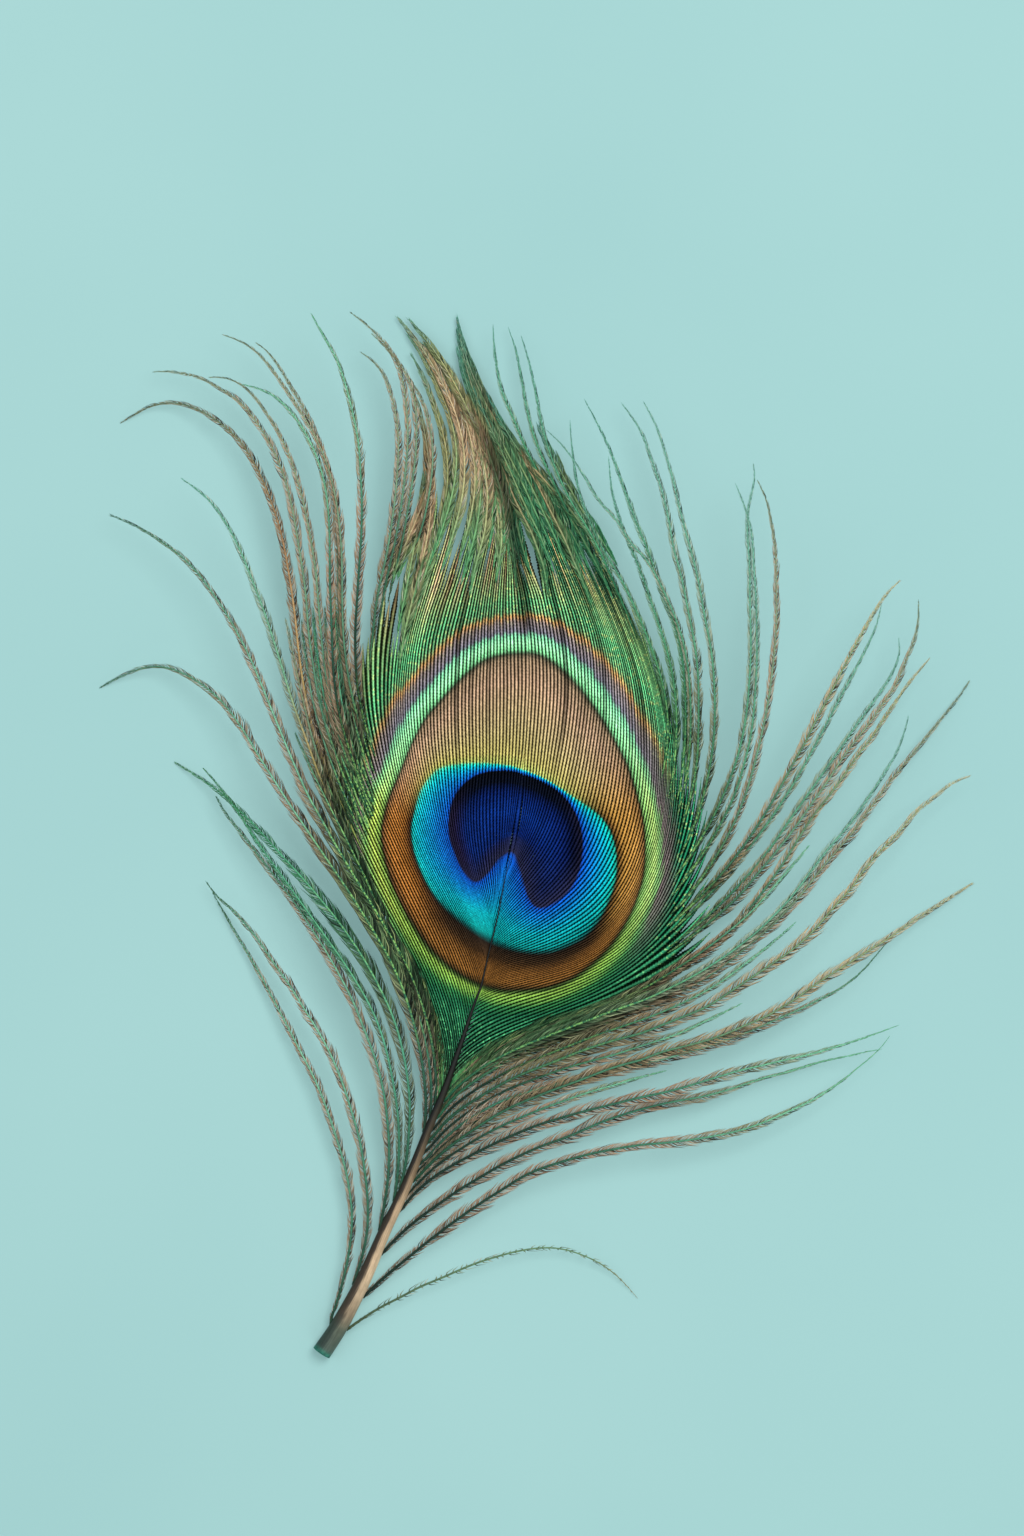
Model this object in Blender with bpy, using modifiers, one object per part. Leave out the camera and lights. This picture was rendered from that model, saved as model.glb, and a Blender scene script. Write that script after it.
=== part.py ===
"""Peacock eye feather, cut short at the quill and laid down glossy face up.

The feather lies on the plane z = 0.  +Y runs from the cut quill end to the
middle of the eye, +Z is up, and the origin is the bottom centre of the box
around everything.

Every barb is drawn in plan on a drafting sheet whose unit square is GRID wide:
u counts to the right, v counts down the sheet.  The sheet is then turned so
that the line from the quill end to the eye becomes +Y.
"""
import math

import bmesh
import bpy
import numpy as np
from mathutils import Vector

for old in list(bpy.data.objects):
    bpy.data.objects.remove(old, do_unlink=True)

# ------------------------------------------------------------------ dimensions
MM = 0.001
GRID = 0.17 * MM                    # one drafting square
QUILL_END = (321.0, 1354.0)         # sheet position of the cut end
EYE_CENTRE = (515.0, 810.0)         # sheet position of the middle of the eye
ORIGIN_X = -3.847 * MM              # middle of the box, from the quill end
ORIGIN_Y = 87.490 * MM

GAP = 0.32 * MM                     # clearance between neighbouring pieces
VANE_THICKNESS = 0.42 * MM          # closed vane with its barbules
BARB_THICKNESS = 0.34 * MM          # loose barb, through its barbules
BARB_WIDTH_REF = 2.0 * MM           # width of the barb profile before tapering
BARB_STATIONS = 17
NARROWEST_BARB = 0.30 * MM          # half width where barbs crowd together
STEEPEST_LIFT = 0.22                # rise per unit length where one barb climbs over another
SHAFT_SIDES = 10
LUMEN_RADIUS = 1.05 * MM            # hollow of the quill
LUMEN_DEPTH = 4.5 * MM
LAYER_STEP = 0.62 * MM              # height between barbs lying over each other

# Shaft stations: sheet position, half thickness and height of the middle, mm
SHAFT = [
    (321, 1354, 1.60, 1.60), (340, 1325, 1.48, 1.80), (364, 1279, 1.22, 2.35),
    (384, 1233, 1.02, 2.95), (402, 1195, 0.90, 3.40), (415, 1164, 0.80, 3.75),
    (428, 1130, 0.70, 4.05), (445, 1089, 0.60, 4.35), (457, 1055, 0.52, 4.55),
    (465, 1032, 0.46, 4.62), (475, 1002, 0.40, 4.68), (481, 987, 0.37, 4.70),
    (486, 965, 0.33, 4.70), (491, 944, 0.29, 4.68), (499, 911, 0.25, 4.62),
    (504, 883, 0.22, 4.55), (508, 868, 0.20, 4.50), (514, 841, 0.17, 4.42),
    (521, 791, 0.14, 4.30),
]

# Closed vane: outer rim and inner edge, both from the shaft to the tuft tip
LEFT_RIM = [(444, 1083), (439, 1050), (428, 1010), (412, 972), (394, 938),
            (375, 903), (360, 872), (352, 845), (351, 820), (358, 795),
            (363, 768), (365, 740), (366, 705), (368, 670), (372, 640),
            (378, 612), (388, 585), (402, 562), (420, 540), (434, 515),
            (444, 490), (449, 465), (450, 440), (446, 412), (436, 385),
            (424, 362), (410, 341), (397, 321)]
LEFT_SEAM = [(446, 1081), (452, 1063), (460, 1038), (470, 1006), (476, 988),
             (482, 965), (487, 943), (495, 911), (501, 883), (505, 866),
             (511, 839), (518, 791), (522, 750), (526, 715), (528, 680),
             (528, 640), (524, 600), (517, 560), (509, 525), (501, 495),
             (490, 462), (478, 432), (460, 398), (441, 363), (421, 335),
             (401, 313)]
RIGHT_RIM = [(455, 1085), (472, 1065), (495, 1050), (525, 1036), (560, 1023),
             (595, 1010), (628, 997), (660, 980), (685, 962), (702, 940),
             (706, 918), (703, 895), (700, 870), (700, 845), (700, 815),
             (696, 788), (687, 765), (674, 750), (668, 730), (665, 710),
             (660, 688), (651, 662), (640, 636), (628, 611), (614, 586),
             (599, 561), (582, 535), (564, 510), (547, 487), (529, 463),
             (510, 440), (496, 417), (483, 392), (473, 367), (465, 340),
             (460, 318)]
RIGHT_SEAM = [(453, 1083), (461, 1061), (470, 1036), (480, 1006), (486, 988),
              (491, 966), (496, 945), (503, 912), (508, 884), (512, 868),
              (518, 842), (524, 791), (526, 750), (529, 715), (531, 680),
              (531, 640), (527, 600), (520, 560), (513, 525), (506, 492),
              (497, 460), (486, 430), (475, 398), (465, 370), (457, 342),
              (453, 318)]
# height of the vane's inner edge and outer rim along its length, mm
SEAM_HEIGHT = [4.5, 4.7, 4.7, 4.5, 4.4, 4.2, 3.9, 3.4, 2.6, 1.6, 0.22]
RIM_HEIGHT = [4.4, 4.5, 4.3, 4.0, 3.8, 3.6, 3.4, 3.0, 2.3, 1.4, 0.22]
VANE_SWELL = 1.1 * MM               # how far each half domes up between edges

# Loose barbs.  width: through the barbules at mid length, mm; rise: arch above
# a straight run from root to tip, mm; tip: height of the tip, mm; layer: how
# many steps the barb rides above (or below) its neighbours; then the plan.
LEFT_BARBS = [
    (1.5, 2.5, 0.10, 0, [(331, 1318), (338, 1299), (343, 1280), (348, 1258), (351, 1235), (352, 1215), (350, 1195), (346, 1172), (340, 1150), (332, 1125), (324, 1102), (314, 1078), (302, 1055), (288, 1028), (272, 998), (258, 972), (245, 950), (232, 928), (219, 906), (212, 893)]),
    (1.8, 4.5, 2.00, 0, [(352, 1288), (358, 1270), (363, 1253), (367, 1233), (368, 1212), (367, 1190), (364, 1165), (360, 1140), (353, 1115), (346, 1092), (338, 1070), (327, 1046), (315, 1025), (301, 1003), (290, 985), (276, 966), (262, 945), (252, 932), (240, 918), (228, 906), (214, 894), (205, 881)]),
    (2.0, 5.0, 3.20, 0, [(373, 1253), (379, 1232), (383, 1212), (387, 1188), (389, 1165), (389, 1140), (387, 1115), (384, 1092), (379, 1070), (372, 1048), (363, 1025), (355, 1004), (344, 982), (332, 960), (320, 940), (308, 922), (295, 902), (281, 884), (268, 867), (256, 852), (244, 836), (232, 822), (222, 808), (216, 796)]),
    (2.2, 6.5, 0.10, 0, [(397, 1197), (403, 1177), (407, 1155), (409, 1130), (410, 1105), (408, 1080), (404, 1055), (398, 1030), (390, 1008), (379, 985), (367, 963), (355, 944), (341, 924), (326, 905), (310, 886), (294, 868), (277, 850), (260, 831), (242, 813), (223, 795), (207, 783), (190, 772), (173, 762)]),
    (2.2, 9.0, 0.10, 0, [(420, 1152), (424, 1130), (426, 1108), (425, 1085), (422, 1060), (417, 1035), (410, 1008), (401, 982), (390, 958), (377, 935), (363, 912), (349, 890), (334, 868), (319, 846), (304, 824), (289, 802), (275, 780), (262, 760), (250, 740), (237, 720), (221, 700), (203, 685), (187, 675), (170, 668), (155, 666), (140, 668), (125, 674), (110, 681), (98, 688)]),
    (2.0, 7.0, 5.00, 0, [(434, 1113), (436, 1090), (435, 1065), (431, 1038), (424, 1010), (414, 982), (402, 955), (389, 932), (375, 908), (360, 884), (347, 862), (335, 842), (322, 818), (310, 797), (300, 775), (290, 752), (281, 730), (272, 708), (263, 686), (253, 662), (243, 642), (231, 620), (218, 600), (203, 579), (186, 560), (168, 546), (150, 534), (130, 523), (110, 515)]),
    (1.9, 6.0, 9.00, 0, [(444, 1087), (443, 1062), (438, 1035), (430, 1005), (418, 975), (405, 948), (391, 922), (376, 896), (361, 868), (347, 842), (335, 815), (325, 790), (316, 765), (308, 742), (300, 720), (293, 700), (287, 680), (281, 660), (274, 638), (267, 616), (259, 595), (251, 574), (242, 552), (232, 532), (220, 513), (205, 496), (182, 479)]),
    (2.0, 6.0, 0.10, 0, [(449, 1070), (446, 1045), (440, 1018), (430, 990), (418, 960), (404, 934), (390, 908), (376, 880), (362, 850), (349, 822), (337, 795), (325, 765), (315, 735), (308, 708), (303, 680), (299, 650), (296, 620), (292, 590), (287, 560), (282, 535), (275, 512), (267, 490), (256, 466), (240, 441), (220, 423), (200, 410), (180, 403), (166, 402), (150, 405), (135, 413), (119, 422)]),
    (1.9, 6.0, 3.50, 1, [(454, 1056), (451, 1030), (445, 1005), (435, 978), (422, 950), (408, 922), (394, 895), (381, 866), (368, 838), (356, 808), (345, 780), (335, 752), (325, 722), (318, 692), (313, 660), (309, 630), (307, 600), (304, 575), (300, 550), (296, 525), (291, 500), (284, 475), (272, 447), (258, 424), (240, 402), (220, 389), (200, 378), (180, 373), (166, 371), (152, 372)]),
    (1.7, 6.0, 6.50, 0, [(458, 1045), (455, 1020), (448, 995), (438, 968), (426, 940), (412, 912), (399, 884), (386, 856), (374, 828), (362, 798), (352, 772), (342, 745), (334, 715), (328, 685), (324, 655), (321, 625), (319, 600), (317, 575), (313, 548), (308, 520), (302, 495), (295, 470), (286, 447), (275, 426), (262, 407), (248, 390), (234, 381), (222, 378), (209, 378)]),
    (1.8, 6.5, 9.50, 1, [(462, 1035), (458, 1008), (450, 982), (440, 955), (428, 928), (415, 900), (402, 872), (390, 845), (378, 820), (366, 796), (357, 772), (349, 748), (342, 724), (337, 698), (334, 670), (333, 640), (332, 610), (331, 580), (331, 550), (330, 520), (327, 492), (321, 467), (311, 443), (297, 420), (280, 401), (262, 391), (243, 386)]),
    (1.7, 6.0, 6.00, 0, [(466, 1024), (461, 998), (453, 972), (443, 945), (431, 918), (418, 890), (405, 863), (393, 838), (382, 815), (371, 790), (361, 762), (353, 735), (347, 708), (343, 680), (341, 650), (340, 620), (339, 590), (339, 560), (338, 530), (335, 505), (331, 480), (324, 456), (315, 432), (305, 410), (292, 389), (280, 368), (268, 352), (256, 343)]),
    (1.6, 6.0, 8.50, 2, [(470, 1012), (465, 988), (457, 962), (447, 935), (435, 908), (422, 880), (409, 853), (398, 828), (387, 804), (376, 778), (367, 750), (359, 722), (352, 694), (347, 665), (344, 635), (343, 605), (343, 575), (342, 545), (339, 515), (334, 487), (326, 460), (316, 438), (304, 417), (292, 399), (281, 383), (270, 367), (256, 352), (240, 342), (223, 336)]),
    (2.0, 7.0, 12.0, 1, [(474, 1002), (468, 975), (459, 949), (448, 922), (436, 896), (424, 870), (412, 845), (401, 820), (391, 796), (382, 772), (372, 748), (364, 720), (358, 690), (356, 660), (356, 630), (358, 600), (360, 570), (362, 545), (363, 520), (363, 500), (362, 480), (361, 460), (359, 440), (354, 416), (347, 388), (338, 362), (325, 339), (312, 316)]),
    (1.7, 5.0, 5.00, 0, [(478, 990), (472, 963), (463, 937), (452, 911), (440, 885), (428, 859), (417, 834), (407, 810), (398, 786), (389, 762), (380, 738), (373, 712), (369, 685), (370, 658), (373, 632), (376, 606), (381, 580), (387, 555), (392, 525), (396, 495), (398, 470), (399, 445), (397, 420), (392, 397), (385, 377), (374, 362), (360, 352)]),
    (1.6, 5.0, 7.00, 1, [(481, 980), (475, 953), (466, 927), (455, 901), (443, 875), (432, 850), (421, 825), (412, 800), (403, 776), (394, 752), (386, 728), (379, 700), (376, 672), (377, 645), (380, 618), (384, 592), (390, 565), (396, 538), (401, 510), (405, 480), (408, 450), (408, 425), (406, 400), (402, 378), (395, 358), (382, 341), (366, 325), (350, 313)]),
    (1.5, 5.0, 5.50, 2, [(484, 970), (478, 943), (469, 917), (458, 891), (447, 866), (436, 840), (426, 816), (417, 792), (408, 768), (400, 744), (392, 720), (386, 695), (382, 668), (382, 642), (386, 614), (391, 587), (398, 560), (404, 533), (409, 505), (413, 480), (416, 455), (417, 432), (416, 410), (413, 392), (407, 376), (397, 361), (384, 347), (372, 335)]),
    (1.6, 4.0, 3.00, 1, [(486, 962), (480, 935), (472, 909), (462, 884), (451, 858), (441, 833), (431, 808), (422, 784), (413, 760), (405, 736), (398, 712), (392, 686), (390, 660), (391, 634), (396, 605), (405, 575), (415, 548), (424, 520), (430, 490), (433, 462), (432, 440), (428, 418), (422, 400), (414, 385), (404, 370)]),
    (1.6, 5.5, 4.00, 1, [(386, 1228), (393, 1205), (397, 1180), (399, 1155), (399, 1130), (397, 1105), (393, 1080), (388, 1055), (381, 1030), (371, 1006), (358, 983), (344, 961), (329, 940), (314, 919), (298, 897), (283, 876), (268, 856), (254, 836), (240, 814), (226, 795), (214, 780), (203, 768)]),
]
RIGHT_BARBS = [
    (1.2, 2.5, 0.10, 0, [(342, 1334), (360, 1321), (380, 1308), (400, 1298), (420, 1287), (440, 1279), (460, 1270), (480, 1262), (500, 1256), (520, 1251), (545, 1248), (565, 1250), (583, 1256), (600, 1264), (615, 1275), (628, 1288), (638, 1300)]),
    (2.1, 5.0, 3.00, 0, [(352, 1309), (367, 1294), (385, 1277), (403, 1262), (421, 1247), (440, 1232), (460, 1217), (480, 1203), (502, 1189), (528, 1173), (558, 1162), (590, 1153), (615, 1148), (640, 1144), (665, 1142), (690, 1139), (710, 1136), (735, 1131), (755, 1125), (775, 1117), (795, 1108), (812, 1100), (828, 1090), (843, 1080), (855, 1070), (868, 1060), (882, 1047), (890, 1036)]),
    (2.3, 5.0, 0.10, 0, [(379, 1257), (392, 1243), (406, 1229), (422, 1216), (440, 1203), (460, 1189), (480, 1177), (500, 1165), (520, 1155), (540, 1146), (560, 1139), (580, 1131), (600, 1122), (620, 1115), (640, 1109), (660, 1104), (680, 1100), (700, 1097), (720, 1092), (740, 1086), (760, 1079), (785, 1073), (805, 1067), (825, 1061), (845, 1057), (865, 1052), (882, 1049)]),
    (2.4, 6.0, 4.00, 1, [(401, 1210), (412, 1196), (426, 1183), (442, 1171), (461, 1160), (480, 1150), (500, 1140), (520, 1131), (540, 1123), (560, 1117), (580, 1111), (600, 1106), (620, 1101), (640, 1096), (660, 1092), (680, 1087), (700, 1081), (720, 1075), (740, 1069), (760, 1065), (780, 1060), (800, 1056), (820, 1051), (840, 1045), (860, 1039), (880, 1032), (899, 1025)]),
    (2.5, 8.0, 0.10, 1, [(417, 1178), (430, 1164), (445, 1150), (462, 1137), (481, 1124), (500, 1112), (520, 1102), (540, 1094), (560, 1086), (580, 1079), (600, 1071), (620, 1064), (640, 1059), (660, 1051), (680, 1046), (700, 1041), (725, 1033), (745, 1024), (765, 1016), (782, 1006), (797, 997), (810, 987), (824, 978), (840, 968), (855, 959), (872, 948), (888, 939), (903, 928), (920, 917), (935, 908), (950, 899), (962, 891), (975, 883)]),
    (2.2, 6.0, 2.60, 0, [(428, 1157), (440, 1143), (455, 1129), (470, 1118), (485, 1109), (500, 1101), (522, 1093), (545, 1086), (570, 1080), (595, 1073), (620, 1067), (645, 1062), (670, 1056), (695, 1049), (720, 1041), (745, 1032), (762, 1025), (780, 1017), (797, 1010), (815, 1001), (830, 994), (845, 985), (858, 975), (870, 963), (879, 952), (889, 941)]),
    (2.4, 8.0, 5.00, 0, [(432, 1138), (445, 1122), (460, 1109), (480, 1096), (500, 1084), (520, 1074), (540, 1066), (560, 1058), (580, 1050), (600, 1043), (620, 1037), (640, 1032), (660, 1024), (680, 1016), (700, 1008), (710, 1003), (725, 993), (740, 983), (755, 973), (770, 963), (785, 953), (800, 941), (812, 930), (825, 915), (838, 900), (850, 888), (862, 870), (875, 855), (888, 842), (900, 830), (910, 817), (922, 806), (935, 796), (945, 787), (958, 780), (970, 776)]),
    (2.4, 8.0, 0.10, 0, [(440, 1115), (450, 1101), (462, 1090), (480, 1077), (500, 1065), (520, 1055), (545, 1045), (565, 1037), (585, 1029), (605, 1021), (625, 1014), (645, 1006), (665, 997), (685, 988), (700, 980), (715, 970), (735, 955), (750, 942), (765, 930), (778, 918), (790, 905), (802, 892), (815, 875), (824, 864), (837, 849), (851, 834), (863, 817), (876, 800), (891, 780), (906, 762), (917, 749), (931, 732), (945, 715), (960, 697), (971, 680)]),
    (1.9, 8.0, 5.50, 1, [(445, 1100), (456, 1088), (470, 1076), (488, 1063), (508, 1052), (530, 1042), (552, 1033), (575, 1024), (598, 1015), (622, 1006), (645, 998), (668, 987), (690, 976), (710, 964), (728, 952), (744, 940), (760, 927), (773, 914), (786, 901), (798, 886), (810, 870), (822, 854), (836, 838), (849, 823), (861, 806), (873, 789), (884, 772), (894, 756), (902, 738), (908, 716)]),
    (2.0, 7.0, 4.00, 0, [(450, 1086), (463, 1072), (480, 1058), (500, 1045), (520, 1034), (545, 1024), (565, 1017), (590, 1008), (613, 999), (637, 989), (660, 979), (682, 967), (703, 953), (722, 937), (740, 918), (755, 900), (770, 880), (785, 858), (797, 838), (812, 815), (828, 795), (845, 772), (858, 753), (872, 736), (882, 720), (893, 705), (903, 690), (915, 675), (930, 658)]),
    (2.0, 7.0, 8.00, 1, [(457, 1064), (468, 1052), (483, 1040), (503, 1028), (525, 1017), (550, 1007), (575, 997), (600, 987), (625, 976), (650, 963), (674, 949), (697, 932), (719, 914), (739, 895), (757, 873), (776, 850), (795, 825), (810, 803), (825, 782), (841, 757), (854, 740), (868, 722), (880, 705), (893, 687), (903, 663), (912, 642), (917, 620), (917, 600)]),
    (1.7, 7.0, 6.00, 2, [(461, 1054), (474, 1042), (492, 1030), (513, 1019), (537, 1009), (562, 999), (588, 989), (613, 978), (638, 966), (662, 952), (684, 936), (704, 919), (724, 900), (742, 881), (760, 860), (776, 838), (792, 814), (808, 792), (824, 769), (840, 747), (854, 726), (869, 706), (883, 687), (894, 668), (899, 652), (898, 638)]),
    (2.0, 7.5, 8.50, 1, [(470, 1034), (485, 1020), (505, 1007), (530, 997), (560, 987), (588, 976), (615, 963), (640, 948), (662, 932), (682, 914), (701, 896), (719, 876), (736, 855), (752, 832), (767, 808), (780, 785), (792, 762), (803, 743), (814, 720), (825, 700), (837, 677), (850, 652), (863, 629), (876, 607), (887, 592), (899, 581)]),
    (1.8, 7.5, 5.50, 0, [(466, 1044), (480, 1031), (500, 1018), (524, 1007), (552, 996), (580, 985), (607, 973), (633, 959), (656, 943), (677, 926), (697, 907), (716, 887), (733, 866), (750, 845), (767, 822), (783, 798), (797, 775), (812, 748), (827, 720), (840, 695), (853, 672), (866, 647), (876, 625), (881, 605)]),
    (2.2, 8.0, 5.00, 0, [(474, 1021), (488, 1008), (510, 996), (538, 986), (567, 977), (595, 965), (620, 952), (642, 938), (662, 922), (680, 905), (696, 886), (711, 864), (725, 840), (738, 812), (749, 780), (759, 740), (767, 700), (772, 660), (775, 625), (775, 595), (775, 570), (774, 545), (770, 520), (766, 500), (757, 480)]),
    (2.0, 8.0, 10.0, 1, [(480, 1003), (495, 991), (515, 981), (542, 972), (570, 962), (595, 950), (618, 935), (638, 918), (655, 900), (671, 882), (686, 862), (700, 840), (713, 817), (726, 787), (737, 755), (744, 720), (747, 690), (749, 650), (748, 600), (748, 570), (746, 540), (746, 515), (750, 495), (754, 478), (752, 465)]),
    (1.7, 8.0, 7.00, 2, [(477, 1012), (491, 999), (512, 988), (540, 979), (568, 970), (595, 958), (620, 943), (641, 927), (659, 910), (676, 891), (691, 871), (706, 849), (719, 826), (732, 799), (742, 768), (750, 732), (753, 700), (755, 665), (755, 630), (754, 600), (752, 570), (751, 545), (748, 525), (742, 505), (734, 485)]),
    (2.0, 7.0, 6.50, 0, [(486, 990), (508, 979), (532, 972), (560, 965), (588, 955), (612, 942), (633, 925), (650, 905), (665, 883), (678, 860), (690, 835), (700, 808), (708, 775), (713, 740), (714, 710), (713, 680), (710, 650), (703, 615), (697, 580), (688, 545), (680, 515), (672, 480), (665, 455), (655, 425), (643, 402)]),
    (2.0, 7.0, 3.50, 1, [(489, 980), (507, 971), (530, 963), (558, 956), (585, 946), (610, 933), (631, 915), (648, 895), (662, 873), (674, 848), (684, 820), (692, 790), (697, 760), (698, 730), (698, 700), (697, 670), (693, 640), (687, 610), (680, 575), (673, 550), (668, 520), (661, 490), (651, 460), (640, 430), (621, 402)]),
    (1.7, 7.0, 7.50, 0, [(494, 965), (518, 955), (545, 947), (572, 938), (598, 925), (620, 908), (638, 888), (652, 865), (664, 840), (674, 812), (681, 780), (685, 740), (685, 700), (683, 670), (678, 640), (670, 615), (660, 590), (650, 560), (642, 540), (634, 520), (627, 500), (618, 475), (609, 450), (597, 425), (584, 400)]),
    (1.6, 6.0, 4.00, 0, [(497, 956), (512, 948), (535, 941), (560, 932), (586, 920), (609, 904), (628, 884), (643, 862), (655, 838), (665, 812), (672, 780), (676, 745), (676, 710), (672, 675), (664, 643), (653, 610), (643, 580), (632, 552), (623, 530), (616, 510), (611, 490), (608, 458)]),
    (1.5, 4.0, 5.00, 1, [(499, 947), (515, 940), (538, 931), (563, 920), (588, 906), (610, 888), (627, 866), (641, 842), (652, 815), (660, 785), (666, 755), (668, 725), (665, 695), (657, 665), (646, 635), (634, 607), (622, 582), (609, 560), (597, 540), (587, 515), (578, 490), (574, 465), (571, 440), (570, 420)]),
    (1.4, 7.0, 9.00, 2, [(492, 972), (512, 963), (538, 955), (565, 947), (592, 935), (615, 920), (635, 901), (650, 880), (663, 856), (673, 830), (681, 802), (687, 772), (690, 740), (690, 705), (688, 675), (683, 645), (674, 618), (664, 595), (653, 573), (645, 560), (630, 545), (615, 520), (600, 505), (585, 480), (565, 450), (546, 431)]),
    (1.5, 3.5, 2.50, 1, [(501, 938), (518, 929), (540, 918), (563, 905), (585, 889), (604, 870), (619, 848), (631, 824), (640, 798), (646, 770), (650, 742), (651, 712), (648, 682), (642, 655), (633, 628), (622, 602), (611, 577), (600, 553), (588, 530), (573, 506), (561, 482), (551, 457), (543, 430), (537, 400), (530, 365), (521, 335)]),
    (1.4, 3.0, 1.50, 0, [(502, 928), (518, 917), (538, 904), (559, 889), (579, 872), (596, 853), (610, 831), (621, 807), (629, 781), (635, 755), (638, 728), (638, 700), (635, 672), (629, 646), (620, 620), (609, 595), (597, 570), (585, 545), (573, 522), (562, 500), (551, 477), (541, 455), (532, 430), (525, 400), (521, 375), (516, 350), (508, 326)]),
    (1.4, 3.0, 3.50, 0, [(503, 917), (516, 905), (534, 890), (553, 874), (571, 856), (586, 836), (599, 815), (609, 792), (616, 768), (621, 742), (624, 716), (624, 690), (621, 664), (615, 640), (607, 615), (596, 590), (585, 566), (573, 542), (561, 518), (549, 495), (537, 470), (525, 447), (514, 420), (503, 395), (497, 370), (494, 345), (493, 324)]),
]

# --------------------------------------------------------------------- helpers
LEAN = math.atan2(EYE_CENTRE[0] - QUILL_END[0], QUILL_END[1] - EYE_CENTRE[1])


def to_row(u, v):
    """Sheet position to the feather's own X, Y in metres."""
    a = (u - QUILL_END[0]) * GRID
    b = (QUILL_END[1] - v) * GRID
    return (a * math.cos(LEAN) - b * math.sin(LEAN) - ORIGIN_X,
            a * math.sin(LEAN) + b * math.cos(LEAN) - ORIGIN_Y)


def rounded(points, steps=8):
    """Round a hand-drawn run of points through every one of them."""
    p = np.array(points, float)
    p = np.vstack([2 * p[0] - p[1], p, 2 * p[-1] - p[-2]])
    out = []
    for i in range(1, len(p) - 2):
        a, b, c, d = p[i - 1], p[i], p[i + 1], p[i + 2]
        for k in range(steps):
            t = k / steps
            out.append(0.5 * ((2 * b) + (c - a) * t
                              + (2 * a - 5 * b + 4 * c - d) * t * t
                              + (3 * b - a - 3 * c + d) * t * t * t))
    out.append(p[-2])
    return np.array(out)


def along(path):
    """Running length of a path, from 0 to 1, and its full length."""
    step = np.linalg.norm(np.diff(path[:, :2], axis=0), axis=1)
    run = np.concatenate([[0.0], np.cumsum(step)])
    return run / run[-1], run[-1]


def stations(path, at):
    """Points of a path at the given shares of its length."""
    t, _ = along(path)
    return np.stack([np.interp(at, t, path[:, k])
                     for k in range(path.shape[1])], axis=1)


def plan(points):
    return np.array([to_row(u, v) for u, v in rounded(points)])


def material(name, colour, rough):
    mat = bpy.data.materials.new(name)
    mat.use_nodes = True
    shader = mat.node_tree.nodes["Principled BSDF"]
    shader.inputs["Base Color"].default_value = (*colour, 1.0)
    shader.inputs["Roughness"].default_value = rough
    mat.diffuse_color = (*colour, 1.0)
    return mat


feather = bpy.data.collections.new("peacock_eye_feather")
guides = bpy.data.collections.new("guides")
bpy.context.scene.collection.children.link(feather)
bpy.context.scene.collection.children.link(guides)


def flattened_ring(name, width, height, sides):
    """Closed profile: a flattened ring of straight sides."""
    data = bpy.data.curves.new(name, "CURVE")
    data.dimensions = "2D"
    line = data.splines.new("POLY")
    line.points.add(sides - 1)
    for k in range(sides):
        turn = -2 * math.pi * k / sides
        line.points[k].co = (0.5 * width * math.cos(turn),
                             0.5 * height * math.sin(turn), 0, 1)
    line.use_cyclic_u = True
    ob = bpy.data.objects.new(name, data)
    guides.objects.link(ob)
    ob.hide_render = True
    ob.display_type = "WIRE"
    return ob


def sweep(name, path, scale, profile, mat):
    """Tapered tube: a profile drawn along a path, flat side up."""
    data = bpy.data.curves.new(name, "CURVE")
    data.dimensions = "3D"
    data.twist_mode = "Z_UP"
    data.bevel_mode = "OBJECT"
    data.bevel_object = profile
    data.use_fill_caps = True
    data.resolution_u = 1
    data.render_resolution_u = 0
    line = data.splines.new("POLY")
    line.points.add(len(path) - 1)
    for k, p in enumerate(path):
        line.points[k].co = (p[0], p[1], p[2], 1)
        line.points[k].radius = scale[k]
    data.materials.append(mat)
    ob = bpy.data.objects.new(name, data)
    feather.objects.link(ob)
    return ob


# ----------------------------------------------------------------------- shaft
shaft_rounded = rounded(SHAFT, 6)
shaft_path = np.array([(*to_row(p[0], p[1]), p[3] * MM) for p in shaft_rounded])
shaft_half = shaft_rounded[:, 2] * MM
keep = np.linspace(0, len(shaft_path) - 1, 22).round().astype(int)
shaft_ring = flattened_ring("shaft_profile", 2.0 * MM, 2.0 * MM, SHAFT_SIDES)
tube = sweep("shaft_tube", shaft_path[keep], shaft_half[keep] / MM,
             shaft_ring, material("shaft_horn", (0.36, 0.24, 0.16), 0.45))
bpy.context.view_layer.update()
horn = bpy.data.meshes.new_from_object(tube.evaluated_get(
    bpy.context.evaluated_depsgraph_get()))
horn.name = "shaft"
weld = bmesh.new()
weld.from_mesh(horn)
bmesh.ops.remove_doubles(weld, verts=weld.verts, dist=1e-6)
bmesh.ops.recalc_face_normals(weld, faces=weld.faces)
weld.to_mesh(horn)
weld.free()
bpy.data.objects.remove(tube, do_unlink=True)
shaft = bpy.data.objects.new("shaft", horn)
feather.objects.link(shaft)

# the quill is cut across and is hollow there
ahead = Vector(shaft_path[3]) - Vector(shaft_path[0])
ahead.normalize()
bpy.ops.mesh.primitive_cone_add(vertices=SHAFT_SIDES, radius1=LUMEN_RADIUS,
                                radius2=0.55 * LUMEN_RADIUS,
                                depth=LUMEN_DEPTH + 1.0 * MM)
lumen = bpy.context.active_object
lumen.name = "lumen_cutter"
lumen.rotation_mode = "QUATERNION"
lumen.rotation_quaternion = ahead.to_track_quat("Z", "Y")
lumen.location = Vector(shaft_path[0]) + ahead * (LUMEN_DEPTH - 1.0 * MM) / 2
for c in list(lumen.users_collection):
    c.objects.unlink(lumen)
guides.objects.link(lumen)
lumen.hide_render = True
lumen.display_type = "WIRE"
hollow = shaft.modifiers.new("hollow", "BOOLEAN")
hollow.operation = "DIFFERENCE"
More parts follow.
